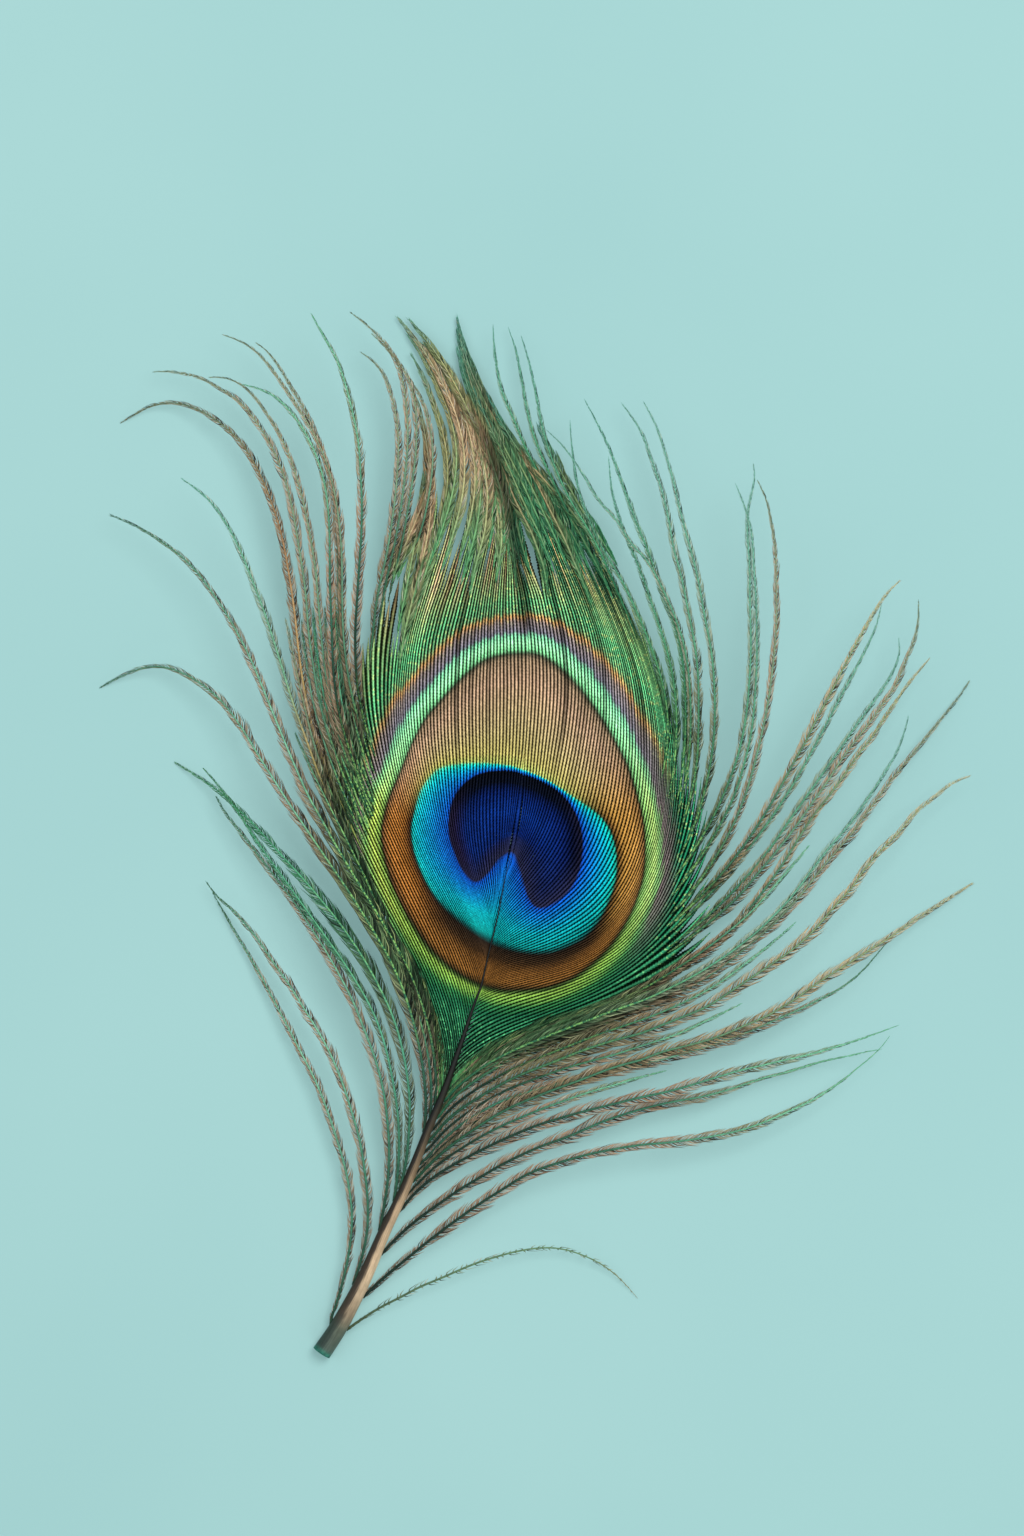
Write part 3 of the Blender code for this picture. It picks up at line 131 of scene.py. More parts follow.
RIGHT_BARBS = [
    (1.2, 2.5, 0.10, 0, [(342, 1334), (360, 1321), (380, 1308), (400, 1298), (420, 1287), (440, 1279), (460, 1270), (480, 1262), (500, 1256), (520, 1251), (545, 1248), (565, 1250), (583, 1256), (600, 1264), (615, 1275), (628, 1288), (638, 1300)]),
    (2.1, 5.0, 3.00, 0, [(352, 1309), (367, 1294), (385, 1277), (403, 1262), (421, 1247), (440, 1232), (460, 1217), (480, 1203), (502, 1189), (528, 1173), (558, 1162), (590, 1153), (615, 1148), (640, 1144), (665, 1142), (690, 1139), (710, 1136), (735, 1131), (755, 1125), (775, 1117), (795, 1108), (812, 1100), (828, 1090), (843, 1080), (855, 1070), (868, 1060), (882, 1047), (890, 1036)]),
    (2.3, 5.0, 0.10, 0, [(379, 1257), (392, 1243), (406, 1229), (422, 1216), (440, 1203), (460, 1189), (480, 1177), (500, 1165), (520, 1155), (540, 1146), (560, 1139), (580, 1131), (600, 1122), (620, 1115), (640, 1109), (660, 1104), (680, 1100), (700, 1097), (720, 1092), (740, 1086), (760, 1079), (785, 1073), (805, 1067), (825, 1061), (845, 1057), (865, 1052), (882, 1049)]),
    (2.4, 6.0, 4.00, 1, [(401, 1210), (412, 1196), (426, 1183), (442, 1171), (461, 1160), (480, 1150), (500, 1140), (520, 1131), (540, 1123), (560, 1117), (580, 1111), (600, 1106), (620, 1101), (640, 1096), (660, 1092), (680, 1087), (700, 1081), (720, 1075), (740, 1069), (760, 1065), (780, 1060), (800, 1056), (820, 1051), (840, 1045), (860, 1039), (880, 1032), (899, 1025)]),
    (2.5, 8.0, 0.10, 1, [(417, 1178), (430, 1164), (445, 1150), (462, 1137), (481, 1124), (500, 1112), (520, 1102), (540, 1094), (560, 1086), (580, 1079), (600, 1071), (620, 1064), (640, 1059), (660, 1051), (680, 1046), (700, 1041), (725, 1033), (745, 1024), (765, 1016), (782, 1006), (797, 997), (810, 987), (824, 978), (840, 968), (855, 959), (872, 948), (888, 939), (903, 928), (920, 917), (935, 908), (950, 899), (962, 891), (975, 883)]),
    (2.2, 6.0, 2.60, 0, [(428, 1157), (440, 1143), (455, 1129), (470, 1118), (485, 1109), (500, 1101), (522, 1093), (545, 1086), (570, 1080), (595, 1073), (620, 1067), (645, 1062), (670, 1056), (695, 1049), (720, 1041), (745, 1032), (762, 1025), (780, 1017), (797, 1010), (815, 1001), (830, 994), (845, 985), (858, 975), (870, 963), (879, 952), (889, 941)]),
    (2.4, 8.0, 5.00, 0, [(432, 1138), (445, 1122), (460, 1109), (480, 1096), (500, 1084), (520, 1074), (540, 1066), (560, 1058), (580, 1050), (600, 1043), (620, 1037), (640, 1032), (660, 1024), (680, 1016), (700, 1008), (710, 1003), (725, 993), (740, 983), (755, 973), (770, 963), (785, 953), (800, 941), (812, 930), (825, 915), (838, 900), (850, 888), (862, 870), (875, 855), (888, 842), (900, 830), (910, 817), (922, 806), (935, 796), (945, 787), (958, 780), (970, 776)]),
    (2.4, 8.0, 0.10, 0, [(440, 1115), (450, 1101), (462, 1090), (480, 1077), (500, 1065), (520, 1055), (545, 1045), (565, 1037), (585, 1029), (605, 1021), (625, 1014), (645, 1006), (665, 997), (685, 988), (700, 980), (715, 970), (735, 955), (750, 942), (765, 930), (778, 918), (790, 905), (802, 892), (815, 875), (824, 864), (837, 849), (851, 834), (863, 817), (876, 800), (891, 780), (906, 762), (917, 749), (931, 732), (945, 715), (960, 697), (971, 680)]),
    (1.9, 8.0, 5.50, 1, [(445, 1100), (456, 1088), (470, 1076), (488, 1063), (508, 1052), (530, 1042), (552, 1033), (575, 1024), (598, 1015), (622, 1006), (645, 998), (668, 987), (690, 976), (710, 964), (728, 952), (744, 940), (760, 927), (773, 914), (786, 901), (798, 886), (810, 870), (822, 854), (836, 838), (849, 823), (861, 806), (873, 789), (884, 772), (894, 756), (902, 738), (908, 716)]),
    (2.0, 7.0, 4.00, 0, [(450, 1086), (463, 1072), (480, 1058), (500, 1045), (520, 1034), (545, 1024), (565, 1017), (590, 1008), (613, 999), (637, 989), (660, 979), (682, 967), (703, 953), (722, 937), (740, 918), (755, 900), (770, 880), (785, 858), (797, 838), (812, 815), (828, 795), (845, 772), (858, 753), (872, 736), (882, 720), (893, 705), (903, 690), (915, 675), (930, 658)]),
    (2.0, 7.0, 8.00, 1, [(457, 1064), (468, 1052), (483, 1040), (503, 1028), (525, 1017), (550, 1007), (575, 997), (600, 987), (625, 976), (650, 963), (674, 949), (697, 932), (719, 914), (739, 895), (757, 873), (776, 850), (795, 825), (810, 803), (825, 782), (841, 757), (854, 740), (868, 722), (880, 705), (893, 687), (903, 663), (912, 642), (917, 620), (917, 600)]),
    (1.7, 7.0, 6.00, 2, [(461, 1054), (474, 1042), (492, 1030), (513, 1019), (537, 1009), (562, 999), (588, 989), (613, 978), (638, 966), (662, 952), (684, 936), (704, 919), (724, 900), (742, 881), (760, 860), (776, 838), (792, 814), (808, 792), (824, 769), (840, 747), (854, 726), (869, 706), (883, 687), (894, 668), (899, 652), (898, 638)]),
    (2.0, 7.5, 8.50, 1, [(470, 1034), (485, 1020), (505, 1007), (530, 997), (560, 987), (588, 976), (615, 963), (640, 948), (662, 932), (682, 914), (701, 896), (719, 876), (736, 855), (752, 832), (767, 808), (780, 785), (792, 762), (803, 743), (814, 720), (825, 700), (837, 677), (850, 652), (863, 629), (876, 607), (887, 592), (899, 581)]),
    (1.8, 7.5, 5.50, 0, [(466, 1044), (480, 1031), (500, 1018), (524, 1007), (552, 996), (580, 985), (607, 973), (633, 959), (656, 943), (677, 926), (697, 907), (716, 887), (733, 866), (750, 845), (767, 822), (783, 798), (797, 775), (812, 748), (827, 720), (840, 695), (853, 672), (866, 647), (876, 625), (881, 605)]),
    (2.2, 8.0, 5.00, 0, [(474, 1021), (488, 1008), (510, 996), (538, 986), (567, 977), (595, 965), (620, 952), (642, 938), (662, 922), (680, 905), (696, 886), (711, 864), (725, 840), (738, 812), (749, 780), (759, 740), (767, 700), (772, 660), (775, 625), (775, 595), (775, 570), (774, 545), (770, 520), (766, 500), (757, 480)]),
    (2.0, 8.0, 10.0, 1, [(480, 1003), (495, 991), (515, 981), (542, 972), (570, 962), (595, 950), (618, 935), (638, 918), (655, 900), (671, 882), (686, 862), (700, 840), (713, 817), (726, 787), (737, 755), (744, 720), (747, 690), (749, 650), (748, 600), (748, 570), (746, 540), (746, 515), (750, 495), (754, 478), (752, 465)]),
    (1.7, 8.0, 7.00, 2, [(477, 1012), (491, 999), (512, 988), (540, 979), (568, 970), (595, 958), (620, 943), (641, 927), (659, 910), (676, 891), (691, 871), (706, 849), (719, 826), (732, 799), (742, 768), (750, 732), (753, 700), (755, 665), (755, 630), (754, 600), (752, 570), (751, 545), (748, 525), (742, 505), (734, 485)]),
    (2.0, 7.0, 6.50, 0, [(486, 990), (508, 979), (532, 972), (560, 965), (588, 955), (612, 942), (633, 925), (650, 905), (665, 883), (678, 860), (690, 835), (700, 808), (708, 775), (713, 740), (714, 710), (713, 680), (710, 650), (703, 615), (697, 580), (688, 545), (680, 515), (672, 480), (665, 455), (655, 425), (643, 402)]),
    (2.0, 7.0, 3.50, 1, [(489, 980), (507, 971), (530, 963), (558, 956), (585, 946), (610, 933), (631, 915), (648, 895), (662, 873), (674, 848), (684, 820), (692, 790), (697, 760), (698, 730), (698, 700), (697, 670), (693, 640), (687, 610), (680, 575), (673, 550), (668, 520), (661, 490), (651, 460), (640, 430), (621, 402)]),
    (1.7, 7.0, 7.50, 0, [(494, 965), (518, 955), (545, 947), (572, 938), (598, 925), (620, 908), (638, 888), (652, 865), (664, 840), (674, 812), (681, 780), (685, 740), (685, 700), (683, 670), (678, 640), (670, 615), (660, 590), (650, 560), (642, 540), (634, 520), (627, 500), (618, 475), (609, 450), (597, 425), (584, 400)]),
    (1.6, 6.0, 4.00, 0, [(497, 956), (512, 948), (535, 941), (560, 932), (586, 920), (609, 904), (628, 884), (643, 862), (655, 838), (665, 812), (672, 780), (676, 745), (676, 710), (672, 675), (664, 643), (653, 610), (643, 580), (632, 552), (623, 530), (616, 510), (611, 490), (608, 458)]),
    (1.5, 4.0, 5.00, 1, [(499, 947), (515, 940), (538, 931), (563, 920), (588, 906), (610, 888), (627, 866), (641, 842), (652, 815), (660, 785), (666, 755), (668, 725), (665, 695), (657, 665), (646, 635), (634, 607), (622, 582), (609, 560), (597, 540), (587, 515), (578, 490), (574, 465), (571, 440), (570, 420)]),
    (1.4, 7.0, 9.00, 2, [(492, 972), (512, 963), (538, 955), (565, 947), (592, 935), (615, 920), (635, 901), (650, 880), (663, 856), (673, 830), (681, 802), (687, 772), (690, 740), (690, 705), (688, 675), (683, 645), (674, 618), (664, 595), (653, 573), (645, 560), (630, 545), (615, 520), (600, 505), (585, 480), (565, 450), (546, 431)]),
    (1.5, 3.5, 2.50, 1, [(501, 938), (518, 929), (540, 918), (563, 905), (585, 889), (604, 870), (619, 848), (631, 824), (640, 798), (646, 770), (650, 742), (651, 712), (648, 682), (642, 655), (633, 628), (622, 602), (611, 577), (600, 553), (588, 530), (573, 506), (561, 482), (551, 457), (543, 430), (537, 400), (530, 365), (521, 335)]),
    (1.4, 3.0, 1.50, 0, [(502, 928), (518, 917), (538, 904), (559, 889), (579, 872), (596, 853), (610, 831), (621, 807), (629, 781), (635, 755), (638, 728), (638, 700), (635, 672), (629, 646), (620, 620), (609, 595), (597, 570), (585, 545), (573, 522), (562, 500), (551, 477), (541, 455), (532, 430), (525, 400), (521, 375), (516, 350), (508, 326)]),
    (1.4, 3.0, 3.50, 0, [(503, 917), (516, 905), (534, 890), (553, 874), (571, 856), (586, 836), (599, 815), (609, 792), (616, 768), (621, 742), (624, 716), (624, 690), (621, 664), (615, 640), (607, 615), (596, 590), (585, 566), (573, 542), (561, 518), (549, 495), (537, 470), (525, 447), (514, 420), (503, 395), (497, 370), (494, 345), (493, 324)]),
]


L_RIM_BARB = [(488, 953), (483, 928), (475, 902), (466, 877), (456, 852), (446, 828), (436, 803), (427, 779), (419, 755), (411, 731), (404, 707), (399, 682), (397, 657), (399, 630), (405, 603), (413, 576), (421, 550), (429, 525), (436, 500), (440, 475), (441, 450), (441, 425), (438, 400), (432, 380), (423, 357), (410, 338), (398, 322), (388, 308)]

# run of the zipped barbs inside the vane, root to tip
TIP_L = [(398, 318), (400, 317), (402, 316), (404, 315), (405, 316)]
G_L6 = [(485, 945), (481, 930), (474, 910), (466, 890), (456, 865), (447, 840), (441, 815), (437, 790), (434, 760), (432, 740), (432, 700), (433, 653), (435, 634), (440, 614), (446, 597), (453, 582), (459, 560), (466, 535), (472, 510), (475, 485), (474, 460), (468, 430), (457, 400), (440, 368), (420, 340), (397, 314)]
G_L7 = [(488, 935), (483, 915), (476, 893), (469, 870), (463, 845), (460, 820), (459, 800), (459, 780), (457, 740), (456, 712), (456, 690), (457, 658), (459, 632), (464, 619), (468, 603), (472, 582), (477, 560), (484, 535), (487, 510), (487, 485), (483, 460), (475, 430), (461, 400), (443, 368), (422, 338), (402, 314)]
G_L8 = [(492, 925), (489, 910), (483, 890), (478, 870), (474, 845), (473, 820), (475, 800), (480, 780), (482, 760), (482, 712), (483, 681), (485, 658), (485, 632), (486, 610), (490, 586), (493, 569), (498, 540), (498, 515), (495, 490), (488, 460), (478, 430), (464, 400), (447, 370), (427, 342), (410, 322)]
G_L9 = [(495, 905), (498, 880), (500, 850), (501, 820), (501, 790), (500, 760), (500, 700), (500, 660), (500, 630), (499, 620), (501, 582), (504, 560), (506, 535), (504, 510), (499, 485), (490, 458), (480, 430), (466, 402), (450, 374), (432, 348), (418, 332)]
G_L10 = [(508, 860), (512, 820), (516, 790), (518, 760), (518, 733), (520, 712), (521, 690), (522, 668), (520, 653), (518, 631), (517, 603), (516, 577), (516, 560), (512, 530), (506, 502), (497, 475), (487, 445), (474, 415), (458, 386), (442, 362), (428, 346)]
G_L11 = [(505, 868), (510, 840), (515, 812), (518, 790), (521, 768), (524, 750), (526, 715), (527.5, 690), (527.5, 660), (527, 640), (524, 610), (521, 590), (516, 560), (510, 528), (503, 498), (493, 468), (482, 438), (468, 408), (452, 380), (438, 358)]
G_R0 = [(511, 866), (516, 845), (521, 822), (524, 800), (525, 780), (526.5, 755), (528, 735), (529.5, 710), (530.5, 690), (530.5, 660), (529.5, 640), (527.5, 620), (524.5, 600), (520, 572), (516, 545), (509, 512), (500, 480), (489, 448), (477, 416), (465, 380), (456, 340), (453, 320)]
G_R1 = [(512, 850), (519, 836), (525, 820), (529, 800), (532, 780), (534, 760), (536, 735), (537, 710), (538, 680), (538, 660), (536, 640), (534, 620), (531, 600), (527, 580), (523, 560), (516, 530), (508, 500), (500, 475), (490, 445), (478, 415), (466, 380), (456, 340), (453, 320)]
G_R2 = [(508, 880), (517, 866), (527, 850), (537, 832), (545, 812), (550, 792), (554, 772), (557, 752), (561, 730), (563, 705), (563, 680), (562, 660), (559, 640), (555, 620), (550, 600), (544, 580), (537, 560), (530, 540), (523, 520), (513, 495), (503, 470), (492, 440), (480, 412), (468, 380), (458, 342), (455, 320)]
G_R3 = [(502, 912), (513, 898), (527, 882), (540, 865), (551, 848), (560, 828), (567, 805), (573, 785), (578, 765), (583, 740), (587, 720), (589, 700), (588, 680), (588, 658), (585, 640), (579, 616), (572, 599), (566, 582), (557, 562), (548, 540), (538, 520), (530, 500), (519, 476), (506, 450), (493, 425), (481, 400), (470, 370), (461, 340), (457, 318)]
G_R4 = [(497, 935), (510, 922), (527, 908), (545, 893), (560, 877), (573, 860), (583, 840), (590, 820), (596, 795), (600, 770), (604, 740), (607, 720), (608, 700), (607, 680), (607, 662), (603, 640), (597, 620), (590, 600), (582, 580), (573, 560), (565, 540), (555, 520), (545, 500), (532, 475), (517, 450), (502, 427), (488, 402), (474, 370), (463, 340), (458, 318)]
G_R5 = [(491, 960), (505, 948), (525, 938), (548, 925), (570, 910), (590, 893), (606, 875), (618, 853), (627, 830), (633, 805), (636, 780), (637, 755), (636, 730), (635, 705), (632, 684), (627, 662), (620, 640), (611, 617), (600, 592), (588, 566), (575, 540), (562, 517), (548, 495), (533, 470), (516, 447), (502, 425), (489, 400), (476, 370), (465, 342), (460, 322)]
G_R6 = [(488, 975), (505, 966), (533, 960), (555, 955), (577, 947), (599, 936), (616, 920), (629, 901), (640, 881), (648, 858), (655, 835), (660, 815), (663, 790), (664, 765), (664, 740), (661, 715), (656, 690), (649, 665), (640, 640), (630, 615), (619, 590), (606, 565), (592, 540), (577, 518), (560, 497), (543, 478), (525, 458), (508, 438), (493, 415), (480, 390), (470, 365), (462, 340), (459, 326)]
G_R7 = [(478, 1000), (495, 992), (520, 985), (550, 978), (580, 970), (605, 960), (628, 945), (645, 927), (658, 908), (668, 885), (676, 862), (682, 838), (687, 815), (690, 790), (691, 765), (690, 740), (690, 705), (688, 675), (683, 645), (674, 618), (664, 595), (653, 573), (640, 553), (625, 532), (610, 512)]
G_R8 = [(465, 1035), (480, 1025), (500, 1015), (525, 1006), (555, 998), (585, 988), (612, 977), (637, 963), (658, 947), (677, 928), (692, 908), (705, 887), (716, 865), (725, 840), (732, 815), (738, 785), (743, 755), (747, 720), (749, 690), (750, 650), (749, 600), (748, 570)]
G_R9 = [(457, 1064), (468, 1052), (483, 1040), (503, 1028), (525, 1017), (550, 1007), (575, 999), (600, 990), (625, 979), (650, 965), (674, 951), (697, 934), (719, 915), (739, 896), (757, 874), (776, 850), (795, 825), (810, 803), (825, 782), (841, 757)]
G_R10 = [(453, 1078), (464, 1066), (480, 1054), (502, 1042), (525, 1032), (548, 1023), (572, 1015), (598, 1006), (622, 997), (645, 988), (668, 977), (692, 962), (714, 944), (735, 924), (752, 903), (770, 880), (785, 858), (797, 838), (812, 815)]

# outlines of the colour zones
HEART = [(497, 770), (511, 770), (524, 773), (540, 779), (556, 788), (569, 801), (579, 820), (583, 843), (580, 868), (571, 888), (556, 902), (539, 908), (529, 899), (524, 884), (518, 864), (512, 852), (499, 859), (489, 872), (476, 882), (464, 872), (455, 853), (449, 831), (451, 806), (459, 789), (472, 777), (484, 772)]
BLUE = [(437, 769), (448, 765), (466, 763), (482, 763), (497, 764), (510, 766), (523, 770), (538, 776), (553, 784), (573, 797), (593, 810), (606, 823), (614, 840), (617, 860), (616, 879), (609, 901), (598, 922), (583, 938), (564, 948), (550, 952), (536, 953), (525, 952), (514, 950), (504, 947), (493, 943), (477, 934), (461, 922), (446, 909), (433, 894), (422, 874), (414, 852), (411, 830), (414, 812), (419, 793), (428, 778)]
BRONZE = [(520, 652), (501, 654), (483, 660), (467, 672), (452, 687), (437, 704), (424, 720), (411, 745), (399, 774), (389, 797), (383, 818), (381, 834), (383, 852), (388, 873), (396, 894), (409, 919), (424, 942), (437, 957), (452, 970), (466, 979), (484, 987), (503, 991), (520, 991), (537, 990), (553, 987), (574, 978), (593, 964), (610, 947), (623, 928), (632, 911), (638, 895), (643, 878), (645, 861), (645, 840), (643, 818), (637, 794), (629, 768), (620, 749), (609, 729), (597, 710), (584, 692), (569, 675), (553, 661), (537, 653)]
EYE_MIDDLE = (514.0, 833.0)


# -------------------------------------------------------------------- helpers
def catmull(points, step=3.0, soften=6.0):
    """A smooth run through given points, evenly stepped, in sheet squares."""
    p = np.array(points, float)
    p = np.vstack([2 * p[0] - p[1], p, 2 * p[-1] - p[-2]])
    out = []
    for i in range(1, len(p) - 2):
        a, b, c, d = p[i - 1], p[i], p[i + 1], p[i + 2]
        t = np.linspace(0, 1, 10, endpoint=False)[:, None]
        out.append(0.5 * ((2 * b) + (c - a) * t + (2 * a - 5 * b + 4 * c - d) * t ** 2
                          + (3 * b - a - 3 * c + d) * t ** 3))
    out.append(p[-2:-1])
    q = even(np.vstack(out), step)
    if soften:
        n = int(3 * soften / step)
        w = np.exp(-0.5 * (np.arange(-n, n + 1) * step / soften) ** 2)
        w /= w.sum()
        head = 2 * q[0] - q[1:n + 1][::-1]
        tail = 2 * q[-1] - q[-n - 1:-1][::-1]
        ext = np.vstack([head, q, tail])
        q = np.stack([np.convolve(ext[:, k], w, "valid") for k in range(q.shape[1])], axis=1)
    return q


def run_of(q):
    return np.concatenate([[0.0], np.cumsum(np.linalg.norm(np.diff(q, axis=0), axis=1))])


def even(q, step):
    r = run_of(q)
    n = max(2, int(round(r[-1] / step)) + 1)
    at = np.linspace(0, r[-1], n)
    return np.stack([np.interp(at, r, q[:, k]) for k in range(q.shape[1])], axis=1)


def share(q, n):
    r = run_of(q)
    at = np.linspace(0, r[-1], n)
    return np.stack([np.interp(at, r, q[:, k]) for k in range(q.shape[1])], axis=1)


def smooth1(z, n):
    if n < 1:
        return z
    w = np.hanning(2 * n + 3)[1:-1]
    w /= w.sum()
    m = len(w) // 2
    ext = np.concatenate([2 * z[0] - z[1:m + 1][::-1], z, 2 * z[-1] - z[-m - 1:-1][::-1]])
    return np.convolve(ext, w, "valid")


def sstep(a, b, x):
    t = np.clip((x - a) / (b - a), 0, 1)
    return t * t * (3 - 2 * t)


def signed(outline, p):
    """Distance from points to a closed outline, negative inside, in sheet squares."""
    a = np.asarray(outline, float)
    b = np.roll(a, -1, axis=0)
    out = np.empty(len(p))
    for k in range(0, len(p), 20000):
        q = p[k:k + 20000, None, :]
        ab = (b - a)[None]
        t = np.clip(((q - a[None]) * ab).sum(-1) / (ab ** 2).sum(-1), 0, 1)
        d = np.sqrt((((a[None] + t[..., None] * ab) - q) ** 2).sum(-1)).min(axis=1)
        cond = (a[None, :, 1] > q[..., 1]) != (b[None, :, 1] > q[..., 1])
        dy = np.where(b[:, 1] == a[:, 1], 1e-9, b[:, 1] - a[:, 1])[None]
        cross = q[..., 0] < a[None, :, 0] + (q[..., 1] - a[None, :, 1]) * (b[:, 0] - a[:, 0])[None] / dy
        inside = (cond & cross).sum(axis=1) % 2 == 1
        out[k:k + 20000] = np.where(inside, -d, d)
    return out


def closed_smooth(points, step=4.0):
    p = list(points)
    q = catmull(p[-3:] + p + p[:3], 1.0, 0)
    r = q
    d0 = np.linalg.norm(r - np.array(p[0], float), axis=1)
    half = len(r) // 2
    i0 = int(np.argmin(d0[:half]))
    i1 = half + int(np.argmin(d0[half:]))
    return even(r[i0:i1 + 1], step)[:-1]


HEART_O = closed_smooth(HEART, 3.0)
BLUE_O = closed_smooth(BLUE)
BRONZE_O = closed_smooth(BRONZE)


def zone(p):
    """Colour zone number of sheet positions: 0-1 heart, 1-2 blue, 2-3 bronze, 3-4 rings, 4-5 beyond."""
    dh, db, dz = signed(HEART_O, p), signed(BLUE_O, p), signed(BRONZE_O, p)
    t = np.where(dh < 0, 1 - np.clip(-dh / 42, 0, 1), 0)
    t = np.where((dh >= 0) & (db < 0), 1 + dh / np.maximum(dh - db, 1e-6), t)
    t = np.where((db >= 0) & (dz < 0), 2 + db / np.maximum(db - dz, 1e-6), t)
    t = np.where(dz >= 0, 3 + np.clip(dz / 60, 0, 1) + np.clip((dz - 60) / 300, 0, 1), t)
    v = p - np.array(EYE_MIDDLE)
    n = np.maximum(np.linalg.norm(v, axis=1), 1e-6)
    ux, up = v[:, 0] / n, -v[:, 1] / n
    wt = sstep(0.10, 0.80, up)
    wb = sstep(0.35, 0.85, -up)
    wr = sstep(-0.12, 0.12, ux)
    return t, wr, wt, wb, dz


def lin(c):
    return tuple((v / 255 / 12.92 if v / 255 <= 0.04045 else ((v / 255 + 0.055) / 1.055) ** 2.4) for v in c) + (1.0,)


def make(name, verts, quads, tris, attrs, material, smooth=True):
    """One mesh object from arrays, with float attributes on its points."""
    me = bpy.data.meshes.new(name)
    nq, nt = len(quads), len(tris)
    me.vertices.add(len(verts))
    me.vertices.foreach_set("co", np.asarray(verts, np.float32).ravel())
    loops = np.concatenate([np.asarray(quads, np.int32).ravel(), np.asarray(tris, np.int32).ravel()])
    me.loops.add(len(loops))
    me.loops.foreach_set("vertex_index", loops)
    me.polygons.add(nq + nt)
    start = np.concatenate([np.arange(nq) * 4, nq * 4 + np.arange(nt) * 3]).astype(np.int32)
    me.polygons.foreach_set("loop_start", start)
    me.polygons.foreach_set("use_smooth", np.full(nq + nt, smooth))
    me.update(calc_edges=True)
    for key, val in attrs.items():
        a = me.attributes.new(key, "FLOAT", "POINT")
        a.data.foreach_set("value", np.asarray(val, np.float32))
    me.materials.append(material)
    ob = bpy.data.objects.new(name, me)
    bpy.context.scene.collection.objects.link(ob)
    return ob


def node_verts(name):
    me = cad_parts[name].data
    co = np.zeros(len(me.vertices) * 3, np.float32)
    me.vertices.foreach_get("co", co)
    return co.reshape(-1, 3).astype(float)


def cad_heights(name, path, pad=0.0):
    """Height of a CAD barb's middle along a plan path (row metres)."""
    v = node_verts(name)
    r = run_of(path)
    d = ((v[:, None, :2] - path[None]) ** 2).sum(-1)
    s = r[d.argmin(axis=1)]
    order = np.argsort(s)
    s, z = s[order], v[order, 2]
    gap = 0.35 * (s[-1] - s[0]) / 16
    cut = np.flatnonzero(np.diff(s) > gap) + 1
    ss = np.array([g.mean() for g in np.split(s, cut)])
    zz = np.array([0.5 * (g.min() + g.max()) for g in np.split(z, cut)])
    return np.interp(r, ss, zz), ss[0], ss[-1]


# -------------------------------------------------------------------- camera
SHEET_W, SHEET_H = 1024, 1536
DISTANCE = 1.25
PLANE = 0.004
middle = row(np.array([SHEET_W / 2, SHEET_H / 2]))
cam_data = bpy.data.cameras.new("camera")
cam_data.type = "PERSP"
cam_data.sensor_fit = "VERTICAL"
cam_data.sensor_height = 36.0
cam_data.lens = 36.0 * DISTANCE / (SHEET_H * GRID)
cam_data.clip_start, cam_data.clip_end = 0.05, 10
cam = bpy.data.objects.new("camera", cam_data)
cam.location = (middle[0], middle[1], PLANE + DISTANCE)
cam.rotation_euler = (0, 0, LEAN)
bpy.context.scene.collection.objects.link(cam)
bpy.context.scene.camera = cam
bpy.context.scene.view_settings.view_transform = "Standard"


def along_image(right, up, z):
    """A place given in photo-aligned metres from the middle of the picture."""
    return (middle[0] + right * CL - up * SL, middle[1] + right * SL + up * CL, z)


